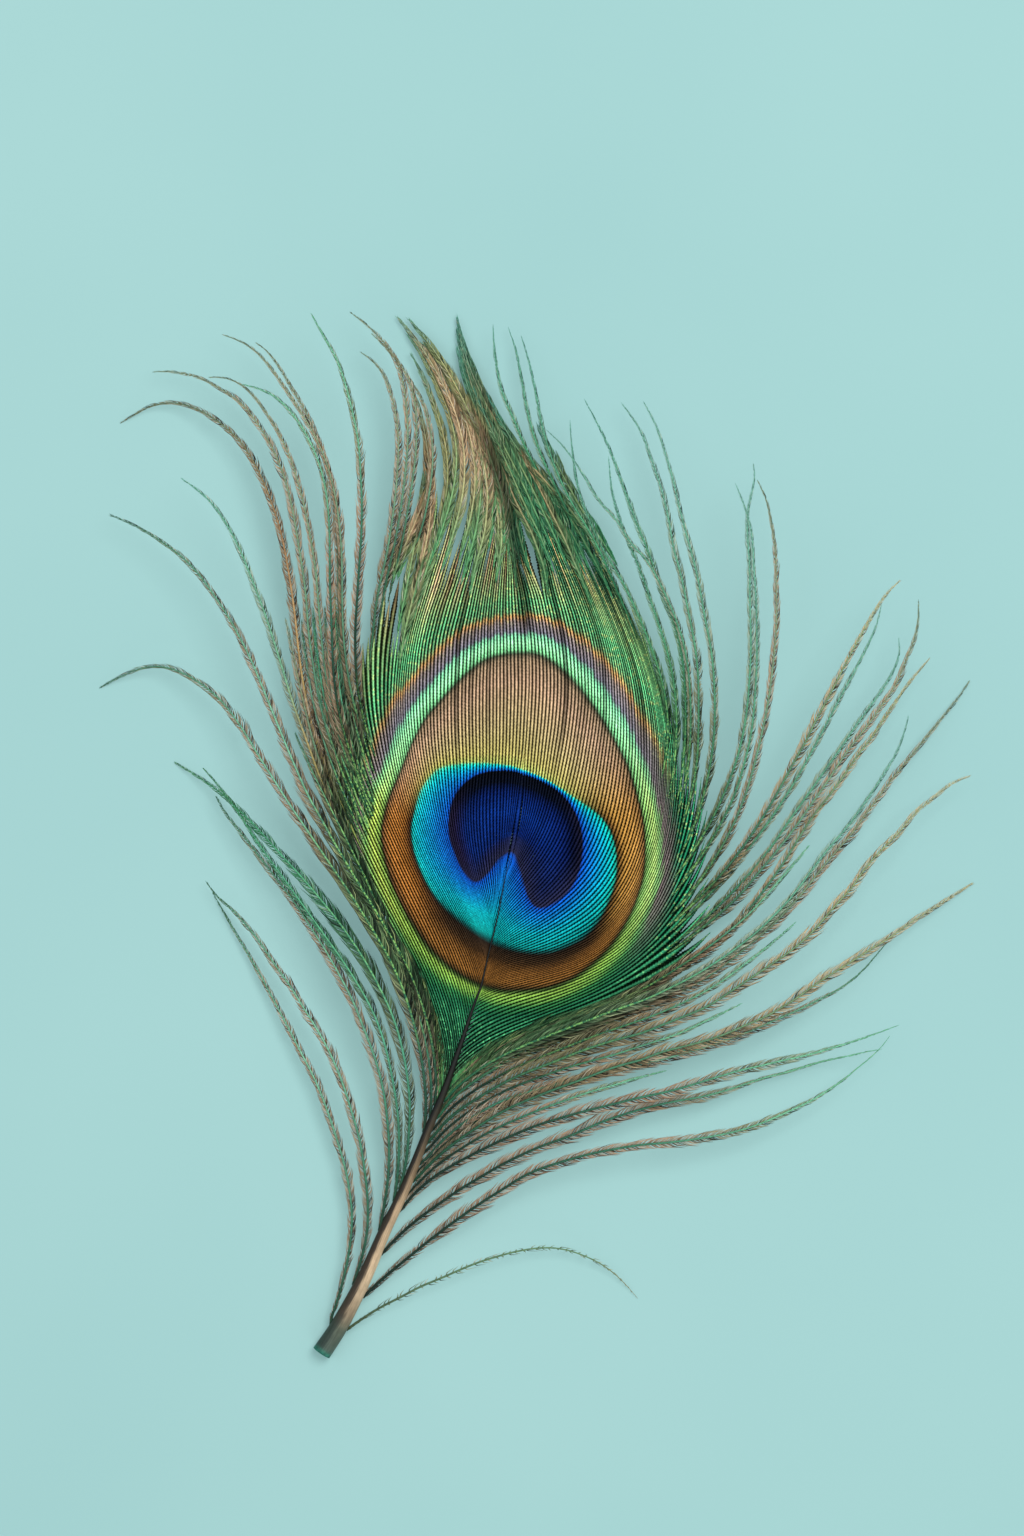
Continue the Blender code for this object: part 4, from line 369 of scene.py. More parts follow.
# -------------------------------------------------------------------- materials
class Nodes:
    def __init__(self, name):
        self.mat = bpy.data.materials.new(name)
        self.mat.use_nodes = True
        self.tree = self.mat.node_tree
        self.bsdf = self.tree.nodes["Principled BSDF"]

    def link(self, a, b):
        self.tree.links.new(a, b)

    def attr(self, name):
        n = self.tree.nodes.new("ShaderNodeAttribute")
        n.attribute_name = name
        return n.outputs["Fac"]

    def ramp(self, fac, stops, interp="LINEAR"):
        n = self.tree.nodes.new("ShaderNodeValToRGB")
        n.color_ramp.interpolation = interp
        e = n.color_ramp.elements
        while len(e) > 1:
            e.remove(e[-1])
        stops = sorted(stops)
        e[0].position, e[0].color = stops[0][0], lin(stops[0][1]) if len(stops[0][1]) == 3 else stops[0][1]
        for pos, c in stops[1:]:
            x = e.new(pos)
            x.color = lin(c)
        if fac is not None:
            self.link(fac, n.inputs["Fac"])
        return n.outputs["Color"]

    def maths(self, op, a, b=None, c=None, clamp=False):
        n = self.tree.nodes.new("ShaderNodeMath")
        n.operation = op
        n.use_clamp = clamp
        for i, v in enumerate((a, b, c)):
            if v is None:
                continue
            if isinstance(v, (int, float)):
                n.inputs[i].default_value = v
            else:
                self.link(v, n.inputs[i])
        return n.outputs[0]

    def remap(self, x, a, b, lo=0.0, hi=1.0, smooth=True):
        n = self.tree.nodes.new("ShaderNodeMapRange")
        n.interpolation_type = "SMOOTHSTEP" if smooth else "LINEAR"
        self.link(x, n.inputs["Value"])
        for k, v in (("From Min", a), ("From Max", b), ("To Min", lo), ("To Max", hi)):
            n.inputs[k].default_value = v
        return n.outputs["Result"]

    def mix(self, f, a, b, blend="MIX"):
        n = self.tree.nodes.new("ShaderNodeMix")
        n.data_type = "RGBA"
        n.blend_type = blend
        for key, v in ((0, f), (6, a), (7, b)):
            s = n.inputs[key]
            if isinstance(v, (int, float)):
                s.default_value = v
            elif isinstance(v, tuple):
                s.default_value = lin(v) if len(v) == 3 else v
            else:
                self.link(v, s)
        return n.outputs[2]

    def noise(self, scale, detail=2.0, rough=0.5):
        tc = self.tree.nodes.new("ShaderNodeTexCoord")
        n = self.tree.nodes.new("ShaderNodeTexNoise")
        n.inputs["Scale"].default_value = scale
        n.inputs["Detail"].default_value = detail
        n.inputs["Roughness"].default_value = rough
        self.link(tc.outputs["Object"], n.inputs["Vector"])
        return n.outputs["Fac"]

    def scale_rgb(self, col, fac):
        n = self.tree.nodes.new("ShaderNodeVectorMath")
        n.operation = "SCALE"
        self.link(col, n.inputs[0])
        self.link(fac, n.inputs["Scale"])
        return n.outputs[0]

    def done(self, colour, rough, **fixed):
        self.link(colour, self.bsdf.inputs["Base Color"])
        if isinstance(rough, (int, float)):
            self.bsdf.inputs["Roughness"].default_value = rough
        else:
            self.link(rough, self.bsdf.inputs["Roughness"])
        for k, v in fixed.items():
            self.bsdf.inputs[k.replace("_", " ")].default_value = v
        return self.mat


def zones(stops):
    return [(min(1.0, t / 5.0), c) for t, c in stops]


ZONE_LEFT = [(0, (5, 44, 120)), (0.6, (6, 34, 98)), (0.85, (30, 24, 56)), (1.0, (28, 22, 42)), (1.03, (10, 80, 182)), (1.3, (12, 110, 186)), (1.6, (10, 144, 186)), (1.85, (14, 182, 196)), (1.96, (20, 180, 172)), (2.0, (28, 46, 38)), (2.06, (68, 42, 24)), (2.3, (146, 92, 38)), (2.7, (164, 106, 48)), (2.92, (108, 74, 42)), (2.98, (38, 34, 26)), (3.05, (126, 160, 72)), (3.14, (178, 200, 90)), (3.26, (120, 168, 90)), (3.36, (108, 96, 92)), (3.5, (78, 80, 64)), (3.6, (36, 100, 66)), (4.0, (64, 136, 88)), (4.2, (104, 134, 84)), (4.5, (164, 144, 104)), (5.0, (118, 150, 116))]
ZONE_TOP = [(0, (5, 44, 120)), (0.45, (3, 27, 86)), (0.7, (2, 8, 26)), (0.98, (2, 4, 12)), (1.04, (8, 76, 172)), (1.4, (10, 134, 192)), (1.75, (18, 186, 190)), (1.92, (60, 205, 165)), (2.02, (165, 174, 94)), (2.12, (180, 168, 98)), (2.4, (180, 160, 114)), (2.75, (180, 148, 120)), (2.93, (150, 126, 100)), (2.985, (66, 68, 54)), (3.04, (124, 200, 140)), (3.15, (158, 234, 174)), (3.27, (124, 200, 156)), (3.33, (116, 114, 128)), (3.5, (134, 118, 112)), (3.59, (186, 140, 86)), (3.66, (100, 152, 104)), (3.85, (86, 174, 116)), (4.0, (110, 176, 116)), (4.13, (142, 168, 108)), (4.35, (182, 162, 122)), (4.7, (168, 154, 110)), (5.0, (118, 162, 128))]
ZONE_RIGHT = [(0, (5, 44, 120)), (0.5, (6, 32, 98)), (0.75, (4, 14, 48)), (0.98, (22, 20, 38)), (1.03, (10, 76, 184)), (1.3, (10, 122, 200)), (1.55, (10, 158, 198)), (1.85, (12, 186, 184)), (1.96, (24, 168, 144)), (2.0, (38, 58, 40)), (2.06, (96, 66, 32)), (2.3, (172, 126, 58)), (2.7, (182, 134, 68)), (2.93, (128, 92, 52)), (2.985, (42, 38, 28)), (3.05, (130, 180, 100)), (3.16, (182, 214, 124)), (3.24, (124, 176, 108)), (3.32, (118, 104, 104)), (3.46, (80, 90, 80)), (3.6, (26, 116, 80)), (4.0, (50, 138, 96)), (4.3, (92, 138, 96)), (5.0, (110, 140, 106))]
ZONE_BOTTOM = [(0, (6, 42, 116)), (0.6, (20, 32, 78)), (0.98, (38, 38, 64)), (1.03, (10, 78, 180)), (1.3, (8, 122, 182)), (1.6, (8, 158, 168)), (1.88, (8, 142, 138)), (1.98, (12, 70, 68)), (2.05, (34, 26, 20)), (2.3, (62, 42, 24)), (2.55, (118, 78, 36)), (2.8, (132, 88, 40)), (2.96, (46, 42, 26)), (3.02, (62, 88, 42)), (3.07, (134, 172, 74)), (3.16, (116, 164, 74)), (3.26, (50, 118, 66)), (3.4, (30, 98, 66)), (3.6, (46, 124, 84)), (4.0, (40, 104, 72)), (4.2, (66, 92, 62)), (5.0, (86, 86, 60))]


def vane_material(name):
    g = Nodes(name)
    t = g.maths("DIVIDE", g.attr("zone"), 5.0)
    c = g.mix(g.attr("to_right"), g.ramp(t, zones(ZONE_LEFT)), g.ramp(t, zones(ZONE_RIGHT)))
    c = g.mix(g.attr("to_top"), c, g.ramp(t, zones(ZONE_TOP)))
    c = g.mix(g.attr("to_bottom"), c, g.ramp(t, zones(ZONE_BOTTOM)))
    # in the tuft the right half is darker and greener than the left
    tuft = g.attr("tuft")
    tuft_col = g.mix(g.attr("to_side"), g.ramp(g.attr("strand"), [(0, (136, 112, 80)), (0.3, (180, 152, 116)), (0.55, (136, 144, 96)), (0.8, (96, 140, 94)), (1, (188, 160, 124))]),
                     g.ramp(g.attr("strand"), [(0, (30, 84, 60)), (0.35, (64, 122, 82)), (0.6, (44, 108, 80)), (0.8, (122, 132, 84)), (1, (150, 136, 94))]))
    c = g.mix(tuft, c, tuft_col)
    # every barb catches the light a little differently, more so beyond the rings
    far = g.remap(g.attr("zone"), 3.35, 3.75)
    near_k = g.remap(g.attr("strand"), 0, 1, 0.84, 1.16, False)
    far_k = g.remap(g.attr("strand"), 0, 1, 0.55, 1.4, False)
    strand = g.maths("ADD", g.maths("MULTIPLY", near_k, g.maths("SUBTRACT", 1.0, far)), g.maths("MULTIPLY", far_k, far))
    # painted sparkle: stations along each barb alternate brighter and darker
    painted_sparkle = g.remap(g.attr("spark"), 0, 1, 0.66, 1.36, False)
    # painted shade: each barb's edges and underside darker than its ridge, as the shade in the grooves between barbs
    edge = g.maths("MULTIPLY", g.attr("painted_groove_shade"), g.maths("ADD", 1.0, g.maths("MULTIPLY", far, 0.35)))
    ridge = g.remap(edge, 0.28, 0.74, 1.0, 0.0)
    # beads of brighter green and gold along the outer barbs
    bead = g.maths("MULTIPLY", g.maths("MULTIPLY", g.remap(g.noise(1500.0, 1.0), 0.56, 0.68), far), 0.42)
    c = g.mix(bead, c, g.mix(g.attr("to_bottom"), (206, 216, 130), (120, 226, 150)))
    patch = g.remap(g.noise(90.0, 3.0), 0.3, 0.7, 0.9, 1.1)
    k = g.maths("MULTIPLY", g.maths("MULTIPLY", strand, painted_sparkle), g.maths("MULTIPLY", g.maths("ADD", g.maths("MULTIPLY", ridge, g.remap(g.attr("zone"), 0.9, 1.1, 0.86, 1.22)), g.remap(g.attr("zone"), 0.9, 1.1, 0.46, 0.13)), patch))
    # painted shadow in the cleft between the tuft's halves, and painted shade on a few random barbs
    c = g.scale_rgb(c, g.maths("MULTIPLY", k, g.remap(g.attr("cleft"), 0, 1, 1.0, 0.22, False)))
    rough = g.remap(g.attr("spark"), 0, 1, 0.50, 0.36, False)
    return g.done(c, rough, Metallic=0.45, Specular_IOR_Level=0.10)


def herl_material(name, pal):
    """pal: barbule colours root-to-tip, shade colours, ramus colours."""
    g = Nodes(name)
    along = g.attr("along")
    body = g.ramp(along, [(t, tuple(min(255, v * 1.09) for v in q)) for t, q in pal["body"]])
    shade = g.ramp(along, [(t, tuple(v * 0.8 for v in q)) for t, q in pal["shade"]])
    tone = g.attr("tone")
    c = g.mix(g.remap(tone, 0.10, 0.66), shade, body)
    # painted glint: the brightest barbules turn to a pale glint colour
    c = g.mix(g.maths("MULTIPLY", g.remap(tone, 0.78, 0.95), pal.get("painted_glint_mix", 0.66)), c, pal.get("glint", (214, 204, 186)))
    # barbules darken where they leave the ramus and pale at their ends
    c = g.scale_rgb(c, g.maths("MULTIPLY", g.remap(g.attr("out"), 0.0, 0.16, 0.42, 1.0), g.remap(g.attr("out"), 0.1, 0.8, 0.92, 1.24)))
    # beside the eye everything turns emerald and gold
    green = g.ramp(tone, [(0, (10, 26, 17)), (0.4, (22, 62, 40)), (0.66, (44, 110, 70)), (0.86, (96, 150, 96)), (1, (170, 186, 116))])
    eye = g.attr("eye")
    c = g.mix(g.maths("MULTIPLY", eye, 0.9), c, green)
    ramus = g.ramp(along, pal["ramus"])
    ramus = g.mix(g.remap(g.noise(1500.0, 2.0), 0.40, 0.60), g.scale_rgb(ramus, g.remap(g.attr("out"), 0, 1, 0.72, 0.72)), ramus)
    dots = g.mix(g.remap(g.noise(2600.0, 1.0), 0.42, 0.60), (30, 92, 60), pal.get("dots", (150, 206, 112)))
    ramus = g.mix(g.maths("MULTIPLY", eye, pal.get("dotted", 0.9)), ramus, dots)
    c = g.mix(g.attr("is_ramus"), c, ramus)
    # painted shadow on tuft barbs along the cleft between the tuft's halves
    c = g.scale_rgb(c, g.remap(g.attr("dim"), 0, 1, 1.0, 0.25, False))
    rough = g.remap(tone, 0.2, 1.0, 0.6, 0.38, False)
    return g.done(c, rough, Metallic=0.15, Specular_IOR_Level=0.25)



# ---------------------------------------------------------- shaft centreline
sh = np.array(SHAFT, float)
uv = catmull([p[:2] for p in SHAFT], 2.0, 4.0)
ru, rs = run_of(uv), run_of(sh[:, :2])
half = np.interp(ru / ru[-1], rs / rs[-1], sh[:, 2]) * MM
zc = np.interp(ru / ru[-1], rs / rs[-1], sh[:, 3]) * MM
half, zc = smooth1(half, 8), smooth1(zc, 8)
half_shaft = half * np.interp(uv[:, 1], [791, 870, 940, 985, 1030, 1090], [0.12, 0.28, 0.36, 0.45, 0.74, 1.0])
cen = np.column_stack([row(uv), zc])
tg = np.gradient(cen, axis=0)
tg /= np.linalg.norm(tg, axis=1)[:, None]
sd = np.cross([0, 0, 1.0], tg)
sd /= np.linalg.norm(sd, axis=1)[:, None]
un = np.cross(tg, sd)


# ------------------------------------------------------------------- eye vanes
vane_tree = {}
for side in ("left", "right"):
    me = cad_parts["eye_vane_" + side].data
    vane_tree[side] = BVHTree.FromPolygons([v.co.copy() for v in me.vertices], [tuple(p.vertices) for p in me.polygons])


def vane_height(side, xy):
    """Height of the middle of the vane's sheet under plan positions."""
    out = np.empty(len(xy))
    tree = vane_tree[side]
    down, up = Vector((0, 0, -1)), Vector((0, 0, 1))
    for k, (x, y) in enumerate(xy):
        hit = tree.ray_cast(Vector((x, y, 0.05)), down)
        if hit[0] is None:
            near = tree.find_nearest(Vector((x, y, 0.004)))
            out[k] = near[0].z
        else:
            low = tree.ray_cast(Vector((x, y, -0.05)), up)
            out[k] = 0.5 * (hit[0].z + (low[0].z if low[0] is not None else hit[0].z))
    return out


rng = np.random.default_rng(20)
OUTLINE = {"left": np.array(LEFT_RIM + LEFT_SEAM[::-1], float), "right": np.array(RIGHT_RIM + RIGHT_SEAM[::-1], float)}
LB = [s[4] for s in LEFT_BARBS]
RB = [s[4] for s in RIGHT_BARBS]
G_L4 = [(478, 985), (470, 962), (460, 942), (447, 920), (433, 897), (420, 872), (410, 848), (402, 824), (396, 800), (391, 775), (386, 750), (383, 720), (381, 690), (383, 660), (387, 630), (392, 600), (400, 570), (408, 545), (418, 520), (427, 495), (432, 470)]
G_L5 = [(486, 960), (479, 940), (470, 918), (459, 895), (447, 870), (436, 846), (427, 822), (420, 798), (413, 775), (407, 750), (403, 725), (401, 700), (402, 675), (405, 650), (410, 625), (417, 600), (426, 575), (435, 550), (445, 520), (452, 495), (456, 470), (456, 445), (450, 415), (438, 385), (424, 357), (410, 335), (398, 320)]
FAMILY = {
    "left": [LB[6], LB[7], LB[8], LB[9], LB[10], LB[11], LB[12], LB[13], G_L4, G_L5, G_L6, G_L7, G_L8, G_L9, G_L10, G_L11],
    "right": [G_R10, G_R9, G_R8, G_R7, G_R6, G_R5, G_R4, G_R3, G_R2, G_R1, G_R0],
}
BARB_PITCH = 3.7                    # between neighbouring zipped barbs, sheet squares


def family(side):
    """All zipped barbs of a side as plan paths in sheet squares, outermost first."""
    guides = [share(catmull(g, 3.0, 7.0), 260) for g in FAMILY[side]]
    paths = [guides[0]]
    for a, b in zip(guides[:-1], guides[1:]):
        tan = np.gradient(a, axis=0)
        tan /= np.linalg.norm(tan, axis=1)[:, None]
        gap = np.abs(tan[:, 0] * (b - a)[:, 1] - tan[:, 1] * (b - a)[:, 0])
        far = signed(OUTLINE[side], a)
        inside = far < 4
        low = side == "right" and len(paths) < 12
        wide = np.percentile(gap[inside], 40 if low else 88) if inside.any() else BARB_PITCH
        n = max(1, int(round(wide / BARB_PITCH)))
        for k in range(1, n + 1):
            paths.append(a + (b - a) * k / n)
    # neighbours settle to an even spacing
    p = np.array(paths)
    m, sig = 12, 4.5
    w = np.exp(-0.5 * (np.arange(-m, m + 1) / sig) ** 2)
    w /= w.sum()
    ext = np.concatenate([2 * p[0] - p[1:m + 1][::-1], p, 2 * p[-1] - p[-m - 1:-1][::-1]])
    q = sum(w[k] * ext[k:k + len(p)] for k in range(2 * m + 1))
    edge = np.minimum(np.arange(len(p)), np.arange(len(p))[::-1])[:, None, None]
    return list(q if side == "x" else np.where(edge == 0, p, q))


CLEFT_Y = [500, 506, 535, 565, 592, 600]
CLEFT_X = [514, 516, 526, 535, 542, 544]
CLEFT_W = [0, 0.6, 4.6, 5.2, 0.6, 0]


def part_tuft(p):
    """Open the narrow cleft between the two halves of the tuft."""
    x = np.interp(p[:, 1], CLEFT_Y, CLEFT_X)
    w = np.interp(p[:, 1], CLEFT_Y, CLEFT_W, left=0, right=0)
    d = p[:, 0] - x
    near = np.abs(d) < 26
    moved = np.where(d >= 0, 1.0, -1.0) * (w + np.abs(d) * (1 - w / 26))
    q = p.copy()
    q[:, 0] = np.where(near & (w > 0), x + moved, p[:, 0])
    return q


def rooted(p):
    """Carry a barb's root back to the middle of the shaft, at a slant."""
    i = int(np.linalg.norm(uv - p[0], axis=1).argmin())
    a = uv[max(0, i - 5)]
    return np.vstack([a + (p[0] - a) * t for t in (0.0, 0.25, 0.5, 0.75)] + [p])


def build_vane(side):
    paths = family(side)
    step = 1.6
    all_v, all_q, att = [], [], {k: [] for k in ("cleft", "zone", "to_right", "to_top", "to_bottom", "tuft", "to_side", "strand", "spark", "painted_groove_shade")}
    base = 0
    paths = [rooted(part_tuft(p)) for p in paths]
    if side == "left":
        paths.append(share(catmull(list(map(tuple, uv[uv[:, 1] < 874][::9])) + [(522.5, 776), (524.5, 760), (526, 744)], 3.0, 7.0), 264))
    tang = []
    for p in paths:
        t = np.gradient(p, axis=0)
        tang.append(t / np.linalg.norm(t, axis=1)[:, None])
    reach = []
    alone = len(paths) - 1 if side == "left" else -1
    for j, p in enumerate(paths):
        d = []
        if j == alone:
            reach.append(np.full(len(p), 2.7))
            continue
        for o in (j - 1, j + 1):
            if 0 <= o < len(paths) and o != alone:
                w = paths[o] - p
                d.append(np.abs(tang[j][:, 0] * w[:, 1] - tang[j][:, 1] * w[:, 0]))
        reach.append(np.clip(0.5 * np.mean(d, axis=0), 0.75, 4.4))
    cut_rng = np.random.default_rng(5)
    for j, p in enumerate(paths):
        far = signed(OUTLINE[side], p)
        inside = np.flatnonzero(far < 3.0 + cut_rng.uniform(0, 7))
        if len(inside) < 6:
            continue
        last = inside.max()
        high = np.flatnonzero(p[:, 1] < (cut_rng.uniform(455, 575) if side == "right" or j > 26 else cut_rng.uniform(560, 640)))
        if len(high) and j > 2:
            last = min(last, high[0])
        keep = p[:last + 1]
        wid = reach[j][:last + 1]
        r = run_of(keep)
        n = max(6, int(r[-1] / step))
        if n < 10:
            continue
        at = np.linspace(0, r[-1], n)
        c = np.stack([np.interp(at, r, keep[:, k]) for k in (0, 1)], axis=1)
        w = np.interp(at, r, wid) * 1.14
        # ends narrow to a point
        end = np.clip((at[-1] - at) / (56.0 if side == "right" and j < 30 else 34.0), 0.08, 1) ** 0.9
        w = w * end * np.clip(0.6 + at / 14.0, 0, 1)
        coarse = max(2, n // 8)
        pick = np.linspace(0, n - 1, coarse).astype(int)
        z = np.interp(np.arange(n), pick, vane_height(side, row(c[pick])))
        z = smooth1(z, 12)
        xy = row(c)
        t = np.gradient(xy, axis=0)
        t /= np.linalg.norm(t, axis=1)[:, None]
        s = np.stack([-t[:, 1], t[:, 0]], axis=1)
        a = np.where(np.arange(n) % 2 == 0, 1.0, -1.0)
        wm = w * GRID
        jit = rng.normal(0, 0.05, (n, 2))
        zo = rng.normal(0, 0.02) * MM
        free = sstep(620, 470, c[:, 1])          # barbs part towards the tuft's tip
        top = np.column_stack([xy, z + (0.14 + 0.018 * a) * MM + zo + 0.10 * MM * free * math.sin(j * 2.4)])
        bot = top - np.array([0, 0, 0.26 * MM])
        ser = 0.10 + 0.10 * free
        el = wm * (1 + ser * a + jit[:, 0])
        er = wm * (1 + ser * a + jit[:, 1])
        fwd = 0.9
        left = np.column_stack([xy + s * el[:, None] + t * (wm * fwd)[:, None], top[:, 2] - (0.17 - 0.03 * a) * MM])
        right = np.column_stack([xy - s * er[:, None] + t * (wm * fwd)[:, None], top[:, 2] - (0.19 - 0.03 * a) * MM])
        v = np.stack([top, right, bot, left], axis=1).reshape(-1, 3)
        k = np.arange(n - 1) * 4 + base
        q = np.concatenate([np.stack([k + i, k + 4 + i, k + 4 + (i + 1) % 4, k + (i + 1) % 4], axis=1) for i in range(4)])
        caps = np.array([[base, base + 1, base + 2, base + 3], [base + 4 * (n - 1) + i for i in (3, 2, 1, 0)]])
        all_v.append(v)
        all_q += [q, caps]
        base += len(v)
        pz = sheet(v[:, :2])
        zt, wr, wt, wb, dz = zone(pz)
        strand = rng.uniform()
        zt = zt + rng.uniform(-0.035, 0.035) * sstep(3.05, 3.4, zt)
        # painted sparkle: alternate stations brighter and darker, with a random spread; it also sets roughness
        sp = np.repeat(np.clip(0.5 + 0.30 * a + rng.normal(0, 0.2, n), 0, 1), 4)
        att["zone"].append(zt); att["to_right"].append(wr); att["to_top"].append(wt); att["to_bottom"].append(wb)
        # cleft: painted shadow along the line between the tuft's halves, and painted shade on about one barb in ten
        # from just above the eye upward
        hollow = np.abs(pz[:, 0] - np.interp(pz[:, 1], [318, 440, 480, 520, 560, 600, 640, 660], [452, 486, 500, 511, 518, 524, 528, 530]))
        painted_slit_shade = rng.uniform(0.35, 0.85) if rng.uniform() < 0.10 else 0.0
        att["cleft"].append(np.maximum(sstep(9, 2, hollow) * sstep(655, 615, pz[:, 1]), painted_slit_shade * sstep(790, 700, pz[:, 1])))
        att["tuft"].append(sstep(30, 92, dz) * sstep(664, 584, pz[:, 1]))
        att["to_side"].append(np.full(len(v), 1.0 if side == "right" else 0.0))
        att["strand"].append(np.full(len(v), strand))
        att["spark"].append(sp)
        # painted shade in the grooves between barbs: edges and underside marked darker than the top, less near the end
        att["painted_groove_shade"].append(np.tile([0.0, 1.0, 0.6, 1.0], n) * np.repeat(np.clip((at[-1] - at) / 36.0, 0.3, 1.0), 4))
    v = np.vstack(all_v)
    q = np.vstack(all_q)
    ob = make("zipped_barbs_" + side, v, q, np.zeros((0, 3), int), {k: np.concatenate(x) for k, x in att.items()},
              vane_material("iridescent_vane_" + side))
    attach(ob, "root")
    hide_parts("eye_vane_" + side)
    return len(paths), 2 * len(q)


print("vanes", build_vane("left"), build_vane("right"))

# ------------------------------------------------------------------ loose herl
BROWN = dict(body=[(0, (116, 102, 84)), (0.3, (166, 143, 119)), (0.7, (166, 142, 116)), (0.92, (116, 138, 106)), (1, (50, 98, 72))],
             shade=[(0, (22, 19, 16)), (0.5, (60, 46, 37)), (1, (22, 42, 31))],
             ramus=[(0, (34, 66, 50)), (0.25, (76, 142, 114)), (0.6, (136, 202, 168)), (1, (60, 126, 92))])
COPPER = dict(body=[(0, (112, 98, 80)), (0.25, (166, 137, 112)), (0.55, (178, 145, 118)), (0.72, (150, 150, 118)), (1, (110, 176, 138))],
              shade=[(0, (22, 18, 15)), (0.5, (66, 46, 37)), (0.75, (52, 74, 56)), (1, (44, 104, 78))],
              ramus=[(0, (22, 44, 36)), (0.3, (36, 72, 56)), (0.55, (70, 136, 106)), (0.8, (130, 206, 164)), (1, (120, 204, 158))])
GOLD = dict(body=[(0, (96, 92, 68)), (0.3, (162, 142, 110)), (0.7, (194, 172, 134)), (1, (202, 190, 150))],
            shade=[(0, (18, 22, 16)), (0.5, (78, 66, 50)), (1, (100, 92, 66))],
            ramus=[(0, (30, 76, 54)), (0.4, (80, 140, 108)), (0.8, (150, 170, 124)), (1, (196, 190, 144))])
GREEN = dict(body=[(0, (80, 94, 70)), (0.3, (124, 128, 102)), (0.55, (80, 138, 106)), (0.8, (60, 130, 90)), (1, (96, 150, 102))],
             shade=[(0, (16, 30, 24)), (0.4, (32, 46, 36)), (0.7, (14, 60, 42)), (1, (16, 72, 48))],
             ramus=[(0, (34, 80, 58)), (0.35, (104, 188, 152)), (0.7, (96, 184, 140)), (1, (54, 136, 88))], painted_glint_mix=0.5, glint=(186, 216, 196))
OLIVE = dict(body=[(0, (104, 108, 78)), (0.4, (134, 140, 104)), (0.75, (126, 146, 110)), (1, (176, 158, 108))],
             shade=[(0, (34, 38, 26)), (0.5, (66, 78, 54)), (1, (84, 76, 50))],
             ramus=[(0, (70, 84, 56)), (0.4, (104, 136, 100)), (0.8, (112, 146, 108)), (1, (160, 140, 90))])
SAGE = dict(body=[(0, (88, 100, 70)), (0.3, (146, 146, 118)), (0.6, (160, 176, 152)), (1, (132, 184, 168))],
            shade=[(0, (16, 30, 22)), (0.5, (66, 82, 64)), (1, (50, 104, 90))],
            ramus=[(0, (30, 96, 66)), (0.4, (96, 168, 130)), (1, (120, 186, 164))], painted_glint_mix=0.6, glint=(206, 212, 198))
TAN = dict(body=[(0, (88, 90, 62)), (0.3, (158, 138, 110)), (0.6, (186, 158, 130)), (0.85, (180, 162, 134)), (1, (152, 176, 150))],
           shade=[(0, (18, 26, 19)), (0.5, (72, 56, 44)), (1, (60, 62, 46))],
           ramus=[(0, (34, 96, 66)), (0.4, (112, 164, 132)), (0.8, (150, 160, 126)), (1, (104, 126, 96))])
MINT = dict(body=[(0, (84, 84, 56)), (0.25, (140, 130, 104)), (0.5, (146, 158, 136)), (0.8, (158, 190, 170)), (1, (110, 174, 150))],
            shade=[(0, (18, 26, 18)), (0.3, (62, 60, 46)), (0.7, (84, 116, 98)), (1, (50, 110, 88))],
            ramus=[(0, (120, 150, 80)), (0.15, (190, 176, 104)), (0.36, (190, 170, 118)), (0.5, (130, 190, 152)), (1, (96, 176, 146))], dotted=0.3)
GILT = dict(body=[(0, (84, 84, 56)), (0.3, (138, 114, 86)), (0.6, (168, 140, 112)), (1, (130, 130, 100))],
            shade=[(0, (18, 22, 14)), (0.5, (62, 46, 34)), (1, (50, 46, 34))],
            ramus=[(0, (150, 160, 80)), (0.18, (188, 172, 100)), (0.40, (206, 168, 116)), (0.56, (176, 136, 96)), (0.8, (120, 136, 104)), (1, (96, 116, 84))], dotted=0.25)
EMERALD = dict(body=[(0, (60, 108, 74)), (0.3, (98, 142, 102)), (0.55, (130, 164, 132)), (1, (124, 182, 166))],
               shade=[(0, (10, 34, 22)), (0.5, (44, 82, 60)), (1, (48, 104, 88))],
               ramus=[(0, (36, 122, 82)), (0.4, (84, 164, 118)), (1, (104, 174, 152))], painted_glint_mix=0.55, glint=(190, 212, 184))
TUFT_COPPER = dict(body=[(0, (84, 160, 108)), (0.18, (146, 164, 114)), (0.42, (204, 172, 138)), (0.75, (188, 160, 118)), (1, (110, 160, 130))],
                   shade=[(0, (20, 64, 42)), (0.3, (72, 74, 52)), (0.6, (120, 92, 70)), (1, (56, 96, 78))],
                   ramus=[(0, (96, 180, 120)), (0.3, (190, 190, 136)), (0.6, (222, 194, 152)), (1, (130, 170, 136))])
TUFT_OLIVE = dict(body=[(0, (84, 164, 112)), (0.25, (134, 168, 116)), (0.5, (172, 166, 120)), (0.8, (146, 154, 104)), (1, (104, 160, 132))],
                  shade=[(0, (20, 64, 42)), (0.4, (60, 84, 56)), (0.7, (92, 92, 60)), (1, (54, 98, 80))],
                  ramus=[(0, (90, 176, 116)), (0.4, (150, 184, 128)), (0.7, (190, 182, 126)), (1, (116, 166, 134))])
TUFT_GREEN = dict(body=[(0, (60, 140, 98)), (0.3, (74, 138, 96)), (0.6, (112, 134, 92)), (0.85, (80, 142, 112)), (1, (90, 158, 138))],
                  shade=[(0, (12, 48, 32)), (0.4, (32, 72, 50)), (0.8, (36, 78, 60)), (1, (50, 108, 92))],
                  ramus=[(0, (70, 160, 108)), (0.4, (134, 164, 110)), (0.7, (116, 150, 106)), (1, (100, 166, 144))], painted_glint_mix=0.5, glint=(186, 196, 156))
